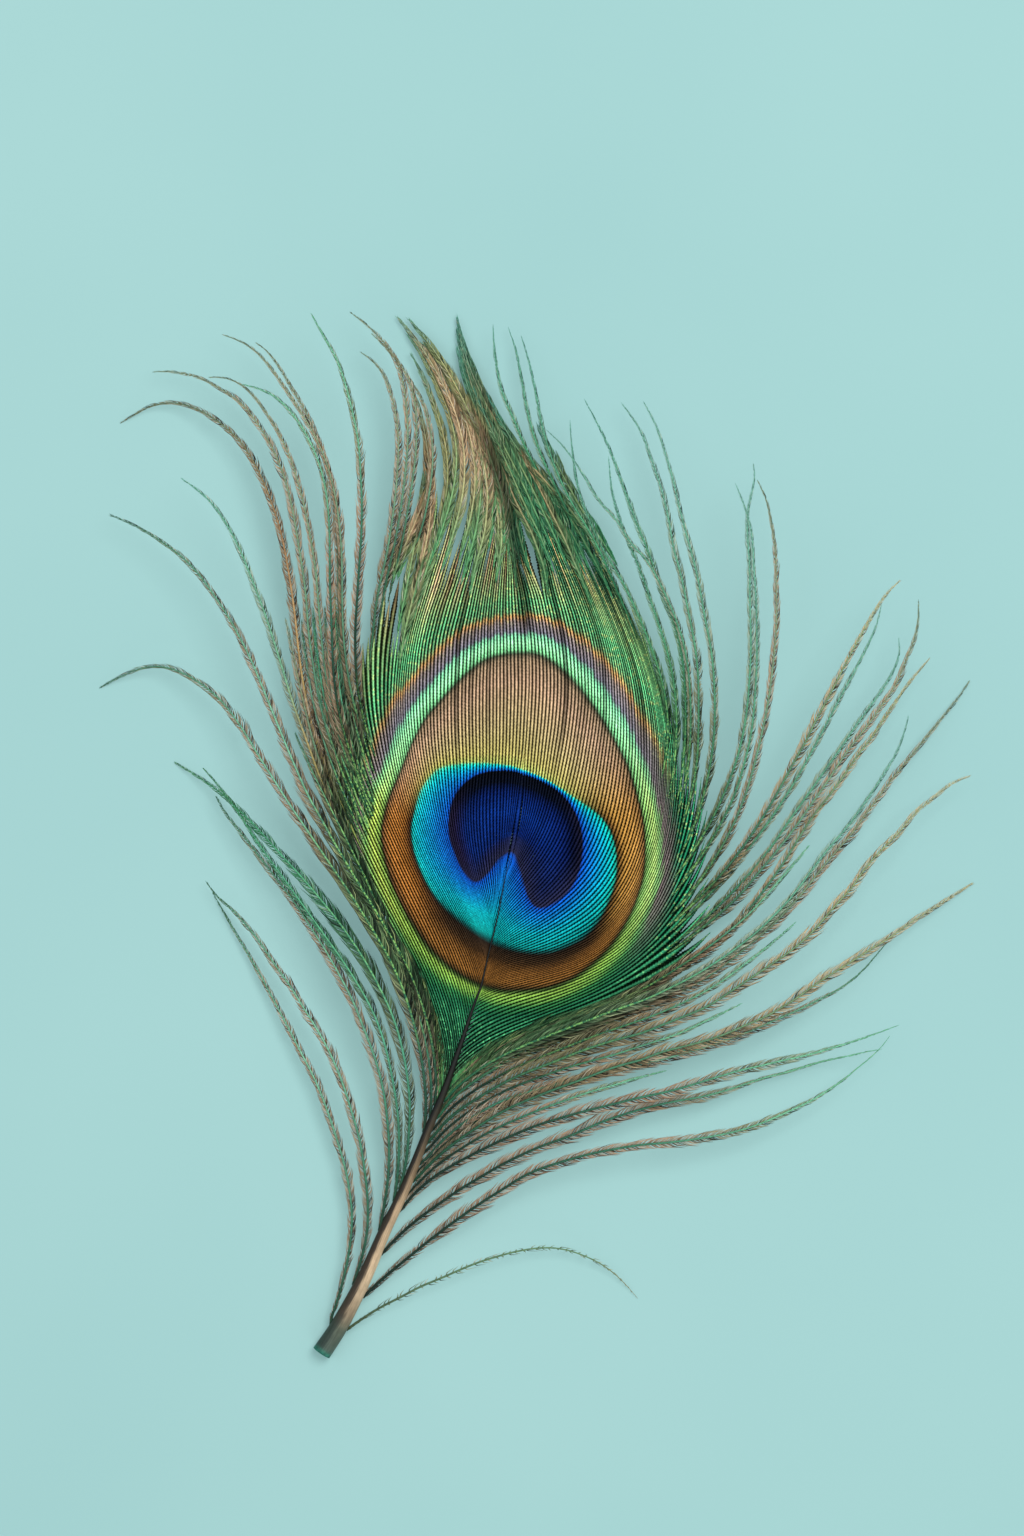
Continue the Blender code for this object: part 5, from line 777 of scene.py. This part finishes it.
TUFT_BROWN = dict(body=[(0, (58, 134, 90)), (0.25, (100, 134, 90)), (0.5, (152, 134, 96)), (0.8, (96, 134, 102)), (1, (90, 154, 136))],
                  shade=[(0, (12, 46, 30)), (0.4, (56, 64, 44)), (0.8, (42, 76, 56)), (1, (50, 106, 90))],
                  ramus=[(0, (70, 156, 104)), (0.4, (180, 160, 116)), (0.7, (150, 144, 104)), (1, (100, 164, 142))], painted_glint_mix=0.5, glint=(196, 188, 152))
VERGE = dict(body=[(0, (52, 88, 58)), (0.3, (82, 106, 70)), (0.6, (122, 116, 86)), (1, (150, 130, 100))],
             shade=[(0, (14, 30, 20)), (0.5, (36, 42, 28)), (1, (60, 52, 38))],
             ramus=[(0, (60, 140, 84)), (0.3, (132, 186, 100)), (0.6, (124, 166, 104)), (1, (120, 150, 116))], painted_glint_mix=0.4, glint=(190, 206, 140))
PALETTES = {n: herl_material("herl_" + n, p) for n, p in
            dict(brown=BROWN, copper=COPPER, gold=GOLD, green=GREEN, olive=OLIVE, verge=VERGE, sage=SAGE, tan=TAN, emerald=EMERALD, gilt=GILT, mint=MINT,
                 tuft_copper=TUFT_COPPER, tuft_olive=TUFT_OLIVE, tuft_green=TUFT_GREEN, tuft_brown=TUFT_BROWN).items()}
LEFT_PAL = ["brown", "brown", "brown", "green", "brown", "brown", "mint", "gilt", "tan", "tan", "copper", "tan", "tan", "copper", "tan", "tan", "tan", "tan", "green"]
RIGHT_PAL = ["olive", "copper", "copper", "copper", "gold", "brown", "gold", "tan", "sage", "gold", "tan", "sage", "gold", "sage",
             "tan", "sage", "sage", "sage", "sage", "emerald", "emerald", "emerald", "sage", "emerald", "emerald", "emerald"]


GROUPS = {}


def herl(name, node, path, z, half_mm, palette, seed, born=False, lean=1.0, thin=None, sparse=1.0):
    """A ramus with two rows of pointed barbules along a path (sheet squares) at heights z."""
    rg = np.random.default_rng(seed)
    xy = row(path)
    p = np.column_stack([xy, z])
    r = run_of(p)
    length = r[-1]
    q = r / length

    def at(s):
        return np.stack([np.interp(s, r, p[:, k]) for k in range(3)], axis=1)

    tan_all = np.gradient(p, axis=0)
    tan_all /= np.linalg.norm(tan_all, axis=1)[:, None]

    eye_path = sstep(110, 25, signed(BRONZE_O, path))

    # ramus: a six-sided tapering tube
    n = max(24, int(length / (1.1 * MM)))
    s = np.linspace(0, length, n)
    c = at(s)
    t = np.stack([np.interp(s, r, tan_all[:, k]) for k in range(3)], axis=1)
    t /= np.linalg.norm(t, axis=1)[:, None]
    side = np.cross([0, 0, 1.0], t)
    side /= np.linalg.norm(side, axis=1)[:, None]
    up = np.cross(t, side)
    rad = np.interp(s / length, [0, 0.12, 0.5, 0.85, 1], [0.27, 0.23, 0.19, 0.12, 0.03]) * MM * (0.55 + 0.45 * min(1.0, half_mm / 1.1))
    if born:
        rad = rad * np.clip(0.25 + s / (9 * MM), 0, 1)
    m = 6
    ang = np.arange(m) * 2 * math.pi / m
    c = c + up * (0.10 * MM * np.clip(np.minimum(s, length - s) / (4 * MM), 0, 1))[:, None]
    ring = c[:, None] + rad[:, None, None] * (np.cos(ang)[None, :, None] * side[:, None] + 0.85 * np.sin(ang)[None, :, None] * up[:, None])
    v_r = ring.reshape(-1, 3)
    k = (np.arange(n - 1) * m)[:, None]
    i = np.arange(m)[None]
    quads = np.stack([k + i, k + (i + 1) % m, k + m + (i + 1) % m, k + m + i], axis=-1).reshape(-1, 4)
    tris_r = [[0, i + 1, i] for i in range(1, m - 1)] + [[(n - 1) * m, (n - 1) * m + i, (n - 1) * m + i + 1] for i in range(1, m - 1)]
    along_r = np.repeat(s / length, m)

    # barbules
    V, T, A_al, A_out, A_tone = [], [], [], [], []
    base = len(v_r)
    airy = lean >= 1
    pitch = (0.36 if airy else 0.34) * sparse * MM
    knots = np.linspace(0, length, max(4, int(length / (2.6 * MM))))
    for sgn in (1.0, -1.0):
        count = int(length / pitch)
        sk = (np.arange(count) + rg.uniform(-0.35, 0.35, count)) * pitch
        sk = np.clip(sk, 0.3 * MM, length - 0.05 * MM)
        u = sk / length
        clump = np.interp(sk, knots, rg.normal(0, 1, len(knots)))
        sway = np.interp(sk, knots, rg.normal(0, 1, len(knots)))
        # barbules lie in small locks of two to four
        lock = np.cumsum(rg.uniform(0, 1, count) < 0.36)
        first = np.searchsorted(lock, lock)
        size = np.bincount(lock)[lock]
        place = (np.arange(count) - first + 0.5) / size
        lock_tone = rg.uniform(-1, 1, lock.max() + 1)[lock]
        lock_long = rg.normal(0, 1, lock.max() + 1)[lock]
        env = np.interp(u, [0, 0.05, 0.18, 0.55, 0.80, 0.93, 1.0], [0.10 if born else 0.42, 0.36 if born else 0.62, 1.0, 0.96, 0.70, 0.44, 0.20])
        near_eye = np.interp(sk, r, eye_path)
        if thin:
            env = env * np.interp(u, [thin, thin + 0.16], [1.0, 0.42])
        theta = np.radians(np.interp(u, [0, 0.2, 0.7, 1], [22, 25, 21, 11] if airy else [20, 23, 20, 10]) * lean * (1 - 0.5 * near_eye) + 2.0 * sway + rg.normal(0, 1.4, count))
        ell = half_mm * MM * env * (1 + 0.20 * near_eye) / np.sin(np.radians((23.5 if airy else 22) * lean * (1 - 0.45 * near_eye))) * (1 + 0.10 * clump + 0.10 * lock_long + rg.normal(0, 0.05, count))
        ell = np.clip(ell, 0.25 * MM, 5.0 * MM)
        c0 = at(sk)
        tt = np.stack([np.interp(sk, r, tan_all[:, k]) for k in range(3)], axis=1)
        tt /= np.linalg.norm(tt, axis=1)[:, None]
        sd = np.cross([0, 0, 1.0], tt)
        sd /= np.linalg.norm(sd, axis=1)[:, None]
        nn = np.cross(tt, sd)
        lift = np.radians(16 + rg.normal(0, 9, count))
        out = sgn * sd * np.cos(lift)[:, None] + nn * np.sin(lift)[:, None]
        th1, th2 = theta + math.radians(13), theta - math.radians(8)
        d1 = tt * np.cos(th1)[:, None] + out * np.sin(th1)[:, None]
        d2 = tt * np.cos(th2)[:, None] + (out - nn * 0.25) * np.sin(th2)[:, None]
        p1 = c0 + d1 * (ell * 0.42)[:, None]
        p2 = p1 + d2 * (ell * 0.58)[:, None]
        n_lock = np.bincount(lock)
        tip = np.stack([np.bincount(lock, p2[:, k]) / n_lock for k in range(3)], axis=1)[lock] + d2 * (ell * 0.06)[:, None]
        p2 = 0.55 * p2 + 0.45 * tip
        wid = np.interp(u, [0, 0.15, 0.7, 1], [0.080, 0.100, 0.088, 0.050]) * (0.98 if airy else 1.0) * (1 + 0.25 * near_eye) * MM * rg.uniform(0.8, 1.15, count)
        flat1 = np.cross(nn, d1)
        flat1 /= np.linalg.norm(flat1, axis=1)[:, None]
        flat2 = flat1
        tri = np.array([[1, 0], [-1, 0], [0, 1]], float)
        v = np.empty((count, 7, 3))
        for kk, (a, b) in enumerate(tri):
            v[:, kk] = c0 + flat1 * (a * wid)[:, None] + nn * (b * 0.7 * wid)[:, None]
            v[:, 3 + kk] = p1 + flat2 * (a * wid * (0.84 if airy else 0.95))[:, None] + nn * (b * 0.6 * wid)[:, None]
        v[:, 6] = p2
        faces = []
        for a, b in ((0, 1), (1, 2), (2, 0)):
            faces += [[a, b, 3 + b], [a, 3 + b, 3 + a], [3 + a, 3 + b, 6]]
        faces.append([0, 2, 1])
        f = np.array(faces)
        if sgn * 1.0 != 0:
            idx = base + np.arange(count)[:, None, None] * 7 + f[None]
            T.append(idx.reshape(-1, 3))
        V.append(v.reshape(-1, 3))
        base += count * 7
        # tone: random per lock and per barbule, plus painted light: the left row of barbules lighter as if lit, each
        # lock darker at its first barbule as painted shade where barbules overlap, and about one in eight a painted
        # glint
        tone = np.clip(0.50 + (0.10 * sgn if airy else 0.0) + 0.10 * lock_tone + 0.54 * (place - 0.5) + 0.10 * rg.normal(0, 1, count), 0, 0.8)
        glint = rg.uniform(0, 1, count) < 0.13
        tone = np.where(glint, rg.uniform(0.82, 1.0, count), tone)
        A_al.append(np.repeat(u, 7))
        A_out.append(np.tile([0, 0, 0, .5, .5, .5, 1.0], count))
        A_tone.append(np.repeat(tone, 7))
    v = np.vstack([v_r] + V)
    tris = np.vstack([np.array(tris_r)] + T)
    along = np.concatenate([along_r] + A_al)
    out_a = np.concatenate([np.zeros(len(v_r))] + A_out)
    tone = np.concatenate([np.full(len(v_r), 0.5)] + A_tone)
    is_r = np.concatenate([np.ones(len(v_r)), np.zeros(len(v) - len(v_r))])
    v[:, 2] = np.maximum(v[:, 2], 0.02 * MM)
    dz = signed(BRONZE_O, sheet(v[:, :2]))
    eye = sstep(100, 20, dz)
    q_uv = sheet(v[:, :2])
    # painted shadow for tuft barbs near the middle line between the tuft's halves
    hollow = np.abs(q_uv[:, 0] - np.interp(q_uv[:, 1], [318, 400, 440, 480, 520, 560, 600, 640, 660], [424, 464, 486, 500, 511, 518, 524, 528, 530]))
    dim = sstep(11, 2, hollow) * sstep(380, 450, q_uv[:, 1]) if lean < 1 else np.zeros(len(v))
    attrs = dict(dim=dim, along=along, out=out_a, tone=tone, is_ramus=is_r, eye=eye)
    if not node:
        GROUPS.setdefault(("_".join(name.split("_")[:2]), palette), []).append((v, quads, tris, attrs))
        return None, 2 * len(quads) + len(tris)
    ob = make(name, v, quads, tris, attrs, PALETTES[palette])
    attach(ob, "root")
    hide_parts(node)
    return ob, 2 * len(quads) + len(tris)


HERL = {}


def loose(side, k, spec, palette):
    width, _, _, _, points = spec
    path = catmull(points, 2.5, 7.0)
    reach = np.linalg.norm(uv - path[0], axis=1)
    if reach.min() < 14:        # carry the root on into the shaft
        foot = uv[max(0, int(reach.argmin()) - int(2 + 0.8 * reach.min()))]
        path = np.vstack([foot + (path[0] - foot) * t for t in (0.0, 0.2, 0.4, 0.6, 0.8)] + [path])
    node = "barb_%s_%02d" % (side, k)
    xy = row(path)
    z, s0, s1 = cad_heights(node, xy)
    r = run_of(xy)
    far = signed(OUTLINE[side], path)
    born = far.min() < 0 and (r[int(np.argmax(far < 0))] < s0)
    d = np.linalg.norm(xy[:, None] - cen[None, :, :2], axis=2)
    at_shaft = d.argmin(axis=1)
    clear = d.min(axis=1) - half_shaft[at_shaft]
    if born:
        start = max(0.0, s0 - (6.5 if side == "left" else 9.0) * MM)
    else:
        near = np.flatnonzero((clear < -0.05 * MM) & (r < s0 + 1 * MM))
        start = r[near.max()] if len(near) else 0.0
    keep = r >= start
    path, z, r, xy = path[keep], z[keep], r[keep], xy[keep]
    if born:
        vz = vane_height(side, xy[r <= s0 + 2 * MM])
        w = sstep(s0 - 5 * MM, s0 + 1.5 * MM, r[:len(vz)])
        z[:len(vz)] = z[:len(vz)] * w + (vz + 0.20 * MM) * (1 - w)
    else:
        w = sstep(start, s0 + 1.5 * MM, r)
        z = z * w + zc[at_shaft[keep][0]] * (1 - w)
    z = smooth1(z, 9)
    slim = {"left": 0.55 if k < 7 or k == 19 else 0.49, "right": 0.55 if k < 8 else (0.47 if k < 14 else 0.38)}[side]
    thin = {("right", 2): 0.74, ("right", 3): 0.60, ("right", 4): 0.74, ("right", 6): 0.72}.get((side, k))
    lean, sparse = 1.0, 1.0
    if (side, k) == ("right", 1):
        slim, lean, sparse = 0.62, 1.35, 3.4
    ob, n = herl("herl_%s_%02d" % (side, k), node, path, z, slim * width, palette, 100 * (side == "right") + k, born, lean, thin, sparse)
    HERL[side, k] = (path, z)
    return n


total = 0
for k, spec in enumerate(LEFT_BARBS, 1):
    total += loose("left", k, spec, LEFT_PAL[k - 1])
for k, spec in enumerate(RIGHT_BARBS, 1):
    total += loose("right", k, spec, RIGHT_PAL[k - 1])


def between(side, a, b, t, stop, palette, seed):
    """One of the closely packed barbs that lie between two numbered ones near the vane."""
    (pa, za), (pb, zb) = HERL[side, a], HERL[side, b]
    p = share(np.column_stack([pa, za]), 300) * (1 - t) + share(np.column_stack([pb, zb]), 300) * t
    p = p[:int(300 * stop)]
    z = smooth1(p[:, 2], 6) - 0.25 * MM
    ob, n = herl("herl_%s_%02d_%02d" % (side, a, b), None, p[:, :2], np.maximum(z, 0.15 * MM), 0.95, palette, seed)
    return n


for n, (side, a, b, t, stop, pal) in enumerate([
        ("right", 4, 5, 0.5, 0.50, "copper"), ("right", 5, 6, 0.5, 0.62, "copper"), ("right", 6, 7, 0.5, 0.60, "copper"), ("right", 7, 8, 0.5, 0.62, "copper"),
        ("right", 8, 9, 0.5, 0.66, "tan"), ("right", 8, 10, 0.6, 0.60, "copper"), ("left", 5, 6, 0.55, 0.42, "brown"), ("left", 6, 7, 0.5, 0.50, "brown"), ("left", 7, 8, 0.5, 0.52, "tan"),
        ("left", 8, 9, 0.5, 0.42, "brown"), ("left", 9, 10, 0.5, 0.44, "green"), ("left", 10, 11, 0.5, 0.45, "brown"), ("left", 11, 12, 0.5, 0.46, "green"), ("left", 12, 13, 0.5, 0.48, "brown")]):
    total += between(side, a, b, t, stop, pal, 900 + n)


def verge(side, guide, t, length, palette, seed):
    """A barb that lies between the vane's lower edge and the nearest numbered barb."""
    edge = even(catmull(guide, 3.0, 7.0), 2.0)
    axis, level = (0, 500) if side == "right" else (1, 1020)
    def cross(path):
        i = np.abs(path[:, axis] - level).argmin()
        return path[i, 1] if side == "right" else -path[i, 0]
    own = cross(edge)
    near = min((kk for kk in HERL if kk[0] == side and cross(HERL[kk][0]) > own + 1), key=lambda kk: cross(HERL[kk][0]))
    path, z = HERL[near]
    a = edge[run_of(edge) < length]
    m = run_of(path) < length
    p = share(a, 160) * (1 - t) + share(path[m], 160) * t
    za = vane_height(side, row(share(a, 40)))
    z = share(np.column_stack([np.linspace(0, 1, 40), za]), 160)[:, 1] * (1 - t) + share(np.column_stack([np.linspace(0, 1, m.sum()), z[m]]), 160)[:, 1] * t
    z = smooth1(z, 10) - 0.10 * MM
    ob, n = herl("herl_%s_verge_%02d" % (side, seed % 100), None, p, np.maximum(z, 0.2 * MM), 0.88, palette, seed)
    return n, near


print("verge", [verge("right", G_R10, t, px, pal, 700 + n) for n, (t, px, pal) in enumerate([
    (0.10, 250, "verge"), (0.26, 220, "verge"), (0.42, 250, "verge"), (0.58, 230, "copper"), (0.74, 260, "verge"), (0.90, 220, "verge")])])
print("verge", [verge("left", LB[6], t, px, pal, 750 + n) for n, (t, px, pal) in enumerate([
    (0.2, 150, "verge"), (0.5, 180, "verge"), (0.8, 150, "verge")])])


def tuft(side, guides, every, pals, seed, low=0.0):
    """Barbs that run free of the vane above the rings, each with its own barbules."""
    rg = np.random.default_rng(seed)
    paths = [share(catmull(g, 3.0, 7.0), 260) for g in guides]
    n, total = 0, 0
    pos = 0.0
    while pos <= len(paths) - 1 + 1e-6:
        a = int(min(pos, len(paths) - 2))
        p = part_tuft(paths[a] + (paths[a + 1] - paths[a]) * (pos - a))
        pos += every
        begin = np.flatnonzero(p[:, 1] < rg.uniform(548, 624) + low)
        if not len(begin):
            continue
        p = p[begin[0]:]
        r = run_of(p)
        if r[-1] < 90:
            continue
        stop = r[-1] * rg.uniform(0.70, 1.0)
        if n % 4 == 1:
            stop = r[-1]
        p = even(p[r <= stop], 2.5)
        r = run_of(p)
        p = p + np.array([[math.cos(n * 2.1), math.sin(n * 2.1)]]) * (rg.uniform(1.0, 3.0) * sstep(0.4, 1.0, r / r[-1]))[:, None]
        xy = row(p)
        coarse = np.linspace(0, len(p) - 1, 12).astype(int)
        z = np.interp(np.arange(len(p)), coarse, vane_height(side, xy[coarse]))
        z = smooth1(z, 6) + (0.30 + 0.12 * math.sin(n * 1.7)) * MM
        ob, tri = herl("tuft_%s_%02d" % (side, n + 1), None, p, z, rg.uniform(0.75, 1.0), pals[n % len(pals)], seed + n, True, 0.62)
        n += 1
        total += tri
    return n, total


print("tuft", tuft("left", [[(x - 9 * min(1.0, max(0.0, (y - 470) / 110)), y) for x, y in G_L4], G_L4, G_L5, G_L6, G_L7, G_L8, G_L9, G_L10], 0.5, ["tuft_copper", "tuft_copper", "tuft_olive", "tuft_copper", "tuft_olive"], 500),
      tuft("left", [[(0.7 * a[0] + 0.3 * b[0], 0.7 * a[1] + 0.3 * b[1]) for a, b in zip(share(catmull(G_L4, 3.0, 7.0), 60), share(catmull(G_L5, 3.0, 7.0), 60))], G_L5], 0.4, ["tuft_olive", "tuft_copper"], 520, 66.0),
      tuft("right", [G_R7, G_R6, G_R5, G_R4, G_R3, G_R2, G_R1], 0.5, ["tuft_green", "tuft_brown", "tuft_green", "tuft_green"], 700))
print("herl triangles", total)

for (group, palette), parts in sorted(GROUPS.items()):
    starts = np.cumsum([0] + [len(p[0]) for p in parts[:-1]])
    ob = make(group + "_" + palette, np.vstack([p[0] for p in parts]), np.vstack([p[1] + b for p, b in zip(parts, starts)]),
              np.vstack([p[2] + b for p, b in zip(parts, starts)]), {k: np.concatenate([p[3][k] for p in parts]) for k in parts[0][3]}, PALETTES[palette])
    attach(ob, "root")

# ----------------------------------------------------------------------- shaft
M = 28
ang = np.arange(M) * 2 * math.pi / M
oval = 1 + 0.03 * np.cos(2 * ang) - 0.10 * np.exp(-((np.sin(ang) + 1) / 0.12) ** 2)
lift = np.interp(uv[:, 1], [791, 846, 868, 985, 1040], [-0.7, -0.45, 0.26, 0.26, 0.0]) * MM
seen = cen + np.column_stack([np.zeros((len(cen), 2)), lift])
rings = seen[:, None] + half_shaft[:, None, None] * oval[None, :, None] * (np.cos(ang)[None, :, None] * sd[:, None] + 0.97 * np.sin(ang)[None, :, None] * un[:, None])
inner_n = 12
inner = []
for i in range(inner_n):
    f = i / (inner_n - 1)
    kk = int(round(f * 12))
    rr = 0.66 * half_shaft[0] * (1 - 0.75 * f ** 2.2)
    inner.append(cen[kk] + rr * (np.cos(ang)[:, None] * sd[kk] + np.sin(ang)[:, None] * un[kk]))
lip = cen[0] + 0.86 * half_shaft[0] * (np.cos(ang)[:, None] * sd[0] + np.sin(ang)[:, None] * un[0]) - 0.06 * MM * tg[0]
grid = np.concatenate([np.array(inner)[::-1], lip[None], rings])
N = len(grid)
kq = (np.arange(N - 1) * M)[:, None]
ii = np.arange(M)[None]
quads = np.stack([kq + ii, kq + (ii + 1) % M, kq + M + (ii + 1) % M, kq + M + ii], axis=-1).reshape(-1, 4)
tris = [[0, i + 1, i] for i in range(1, M - 1)] + [[(N - 1) * M, (N - 1) * M + i, (N - 1) * M + i + 1] for i in range(1, M - 1)]
al = np.concatenate([np.full((inner_n + 1) * M, 0.0), np.repeat(ru / ru[-1], M)])
sidev = np.tile(-np.cos(ang), N)
# cut end mask: inside, lip and very end of the hollow quill, where the painted teal highlight goes
cut_end_painted_highlight = np.concatenate([np.full(inner_n * M, 1.0), np.full(M, 1.0), np.repeat(sstep(0.012, 0.0, ru / ru[-1]), M)])
g = Nodes("shaft_horn_painted_light")
along = g.attr("along")
# the dark and light ramps both darken up the shaft as the horn does; mixed across the shaft they give a painted shaded
# left side and a painted lit right side
dark = g.ramp(along, [(0, (46, 64, 58)), (0.05, (50, 62, 54)), (0.08, (64, 54, 43)), (0.16, (58, 46, 36)), (0.31, (44, 36, 28)), (0.41, (22, 19, 15)), (0.5, (13, 13, 11)), (0.66, (6, 9, 9)), (0.8, (4, 10, 14)), (1, (3, 6, 20))])
light = g.ramp(along, [(0, (78, 96, 88)), (0.05, (88, 96, 82)), (0.08, (150, 132, 108)), (0.15, (214, 186, 152)), (0.28, (186, 158, 127)), (0.345, (130, 110, 85)), (0.405, (76, 65, 50)), (0.465, (40, 38, 30)), (0.52, (22, 25, 21)), (0.66, (10, 14, 14)), (0.8, (6, 14, 20)), (1, (4, 8, 26))])
# streaks that run with the horn
comb = g.tree.nodes.new("ShaderNodeCombineXYZ")
g.link(g.maths("MULTIPLY", along, 14.0), comb.inputs[0])
g.link(g.maths("MULTIPLY", g.attr("side"), 2.6), comb.inputs[1])
streak = g.tree.nodes.new("ShaderNodeTexNoise")
streak.inputs["Scale"].default_value = 2.2
streak.inputs["Detail"].default_value = 4.0
g.link(comb.outputs[0], streak.inputs["Vector"])
nz = streak.outputs["Fac"]
edge = g.maths("ADD", g.attr("side"), g.remap(nz, 0.3, 0.7, -0.12, 0.12))
c = g.mix(g.remap(edge, -0.35, 0.15), dark, light)
c = g.scale_rgb(c, g.remap(nz, 0.28, 0.72, 0.80, 1.14))
c = g.scale_rgb(c, g.remap(g.noise(900.0, 3.0, 0.6), 0.25, 0.75, 0.9, 1.08))
# painted teal highlight inside the hollow cut end and on its lip
c = g.mix(g.attr("cut"), c, g.ramp(g.noise(1400.0, 2.0), [(0.3, (18, 84, 72)), (0.7, (46, 132, 112))]))
shaft_mat = g.done(c, g.remap(nz, 0.3, 0.7, 0.38, 0.54), Specular_IOR_Level=0.3)
shaft = make("shaft_horn", grid.reshape(-1, 3), quads, np.array(tris), dict(along=al, side=sidev, cut=cut_end_painted_highlight), shaft_mat)
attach(shaft, "root")
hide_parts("shaft")

# ------------------------------------------------------------- shaft underside
ridge_uv = share(catmull(list(map(tuple, uv[uv[:, 1] < 1010][::9])) + [(522.5, 776), (524.5, 760), (526, 744)], 3.0, 7.0), 90)
ridge_c = np.column_stack([row(ridge_uv), smooth1(vane_height("left", row(ridge_uv)), 6) - 0.33 * MM])
ridge_t = np.gradient(ridge_c, axis=0)
ridge_t /= np.linalg.norm(ridge_t, axis=1)[:, None]
ridge_s = np.cross([0, 0, 1.0], ridge_t)
ridge_s /= np.linalg.norm(ridge_s, axis=1)[:, None]
ridge_w = np.interp(ridge_uv[:, 1], [744, 760, 800, 900, 1010], [0.10, 0.30, 0.46, 0.52, 0.50]) * MM
ridge_a = np.arange(8) * math.pi / 4
ridge_v = (ridge_c[:, None] + ridge_w[:, None, None] * np.cos(ridge_a)[None, :, None] * ridge_s[:, None]
           + 0.16 * MM * np.sin(ridge_a)[None, :, None] * np.cross(ridge_t, ridge_s)[:, None]).reshape(-1, 3)
k = (np.arange(89) * 8)[:, None]
i = np.arange(8)[None]
ridge_q = np.stack([k + i, k + (i + 1) % 8, k + 8 + (i + 1) % 8, k + 8 + i], axis=-1).reshape(-1, 4)
ridge_e = [[0, i + 1, i] for i in range(1, 7)] + [[712, 712 + i, 713 + i] for i in range(1, 7)]
g = Nodes("shaft_underside_horn")
ob = make("shaft_underside", ridge_v, ridge_q, np.array(ridge_e), {"across": np.tile(np.sin(ridge_a), 90)},
          g.done(g.ramp(g.noise(420.0, 4.0), [(0.3, (5, 9, 12)), (0.7, (16, 22, 22))]), 0.5, Specular_IOR_Level=0.2))
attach(ob, "root")

# ----------------------------------------------------------------------- stage
bpy.ops.mesh.primitive_plane_add(size=4.0, location=(middle[0], middle[1], -0.0001))
floor = bpy.context.active_object
floor.name = "floor"
g = Nodes("pale_aqua_floor")
floor.data.materials.append(g.done(g.ramp(g.noise(6.0, 3.0), [(0.3, (130, 167, 167)), (0.7, (140, 175, 174))]), 0.85, Specular_IOR_Level=0.1, Emission_Color=lin((162, 206, 205)), Emission_Strength=0.36))


def area(name, right, up, z, size, power, colour, look=(0.0, 0.0)):
    data = bpy.data.lights.new(name, "AREA")
    data.shape = "DISK"
    data.size = size
    data.energy = power
    data.color = colour
    ob = bpy.data.objects.new(name, data)
    ob.location = along_image(right, up, z)
    aim = Vector(along_image(look[0], look[1], 0.0)) - ob.location
    ob.rotation_euler = aim.to_track_quat("-Z", "Y").to_euler()
    bpy.context.scene.collection.objects.link(ob)


area("key", 0.34, 0.36, 1.05, 0.75, 9.2, (1.0, 0.985, 0.96))
area("fill", -0.7, 0.1, 0.9, 0.9, 2.2, (0.92, 0.98, 1.0))
area("rim", 0.2, -0.9, 0.5, 0.5, 1.4, (0.95, 1.0, 1.0))
world = bpy.data.worlds.new("studio")
world.use_nodes = True
world.node_tree.nodes["Background"].inputs["Color"].default_value = (0.86, 0.95, 0.95, 1)
world.node_tree.nodes["Background"].inputs["Strength"].default_value = 0.40
bpy.context.scene.world = world
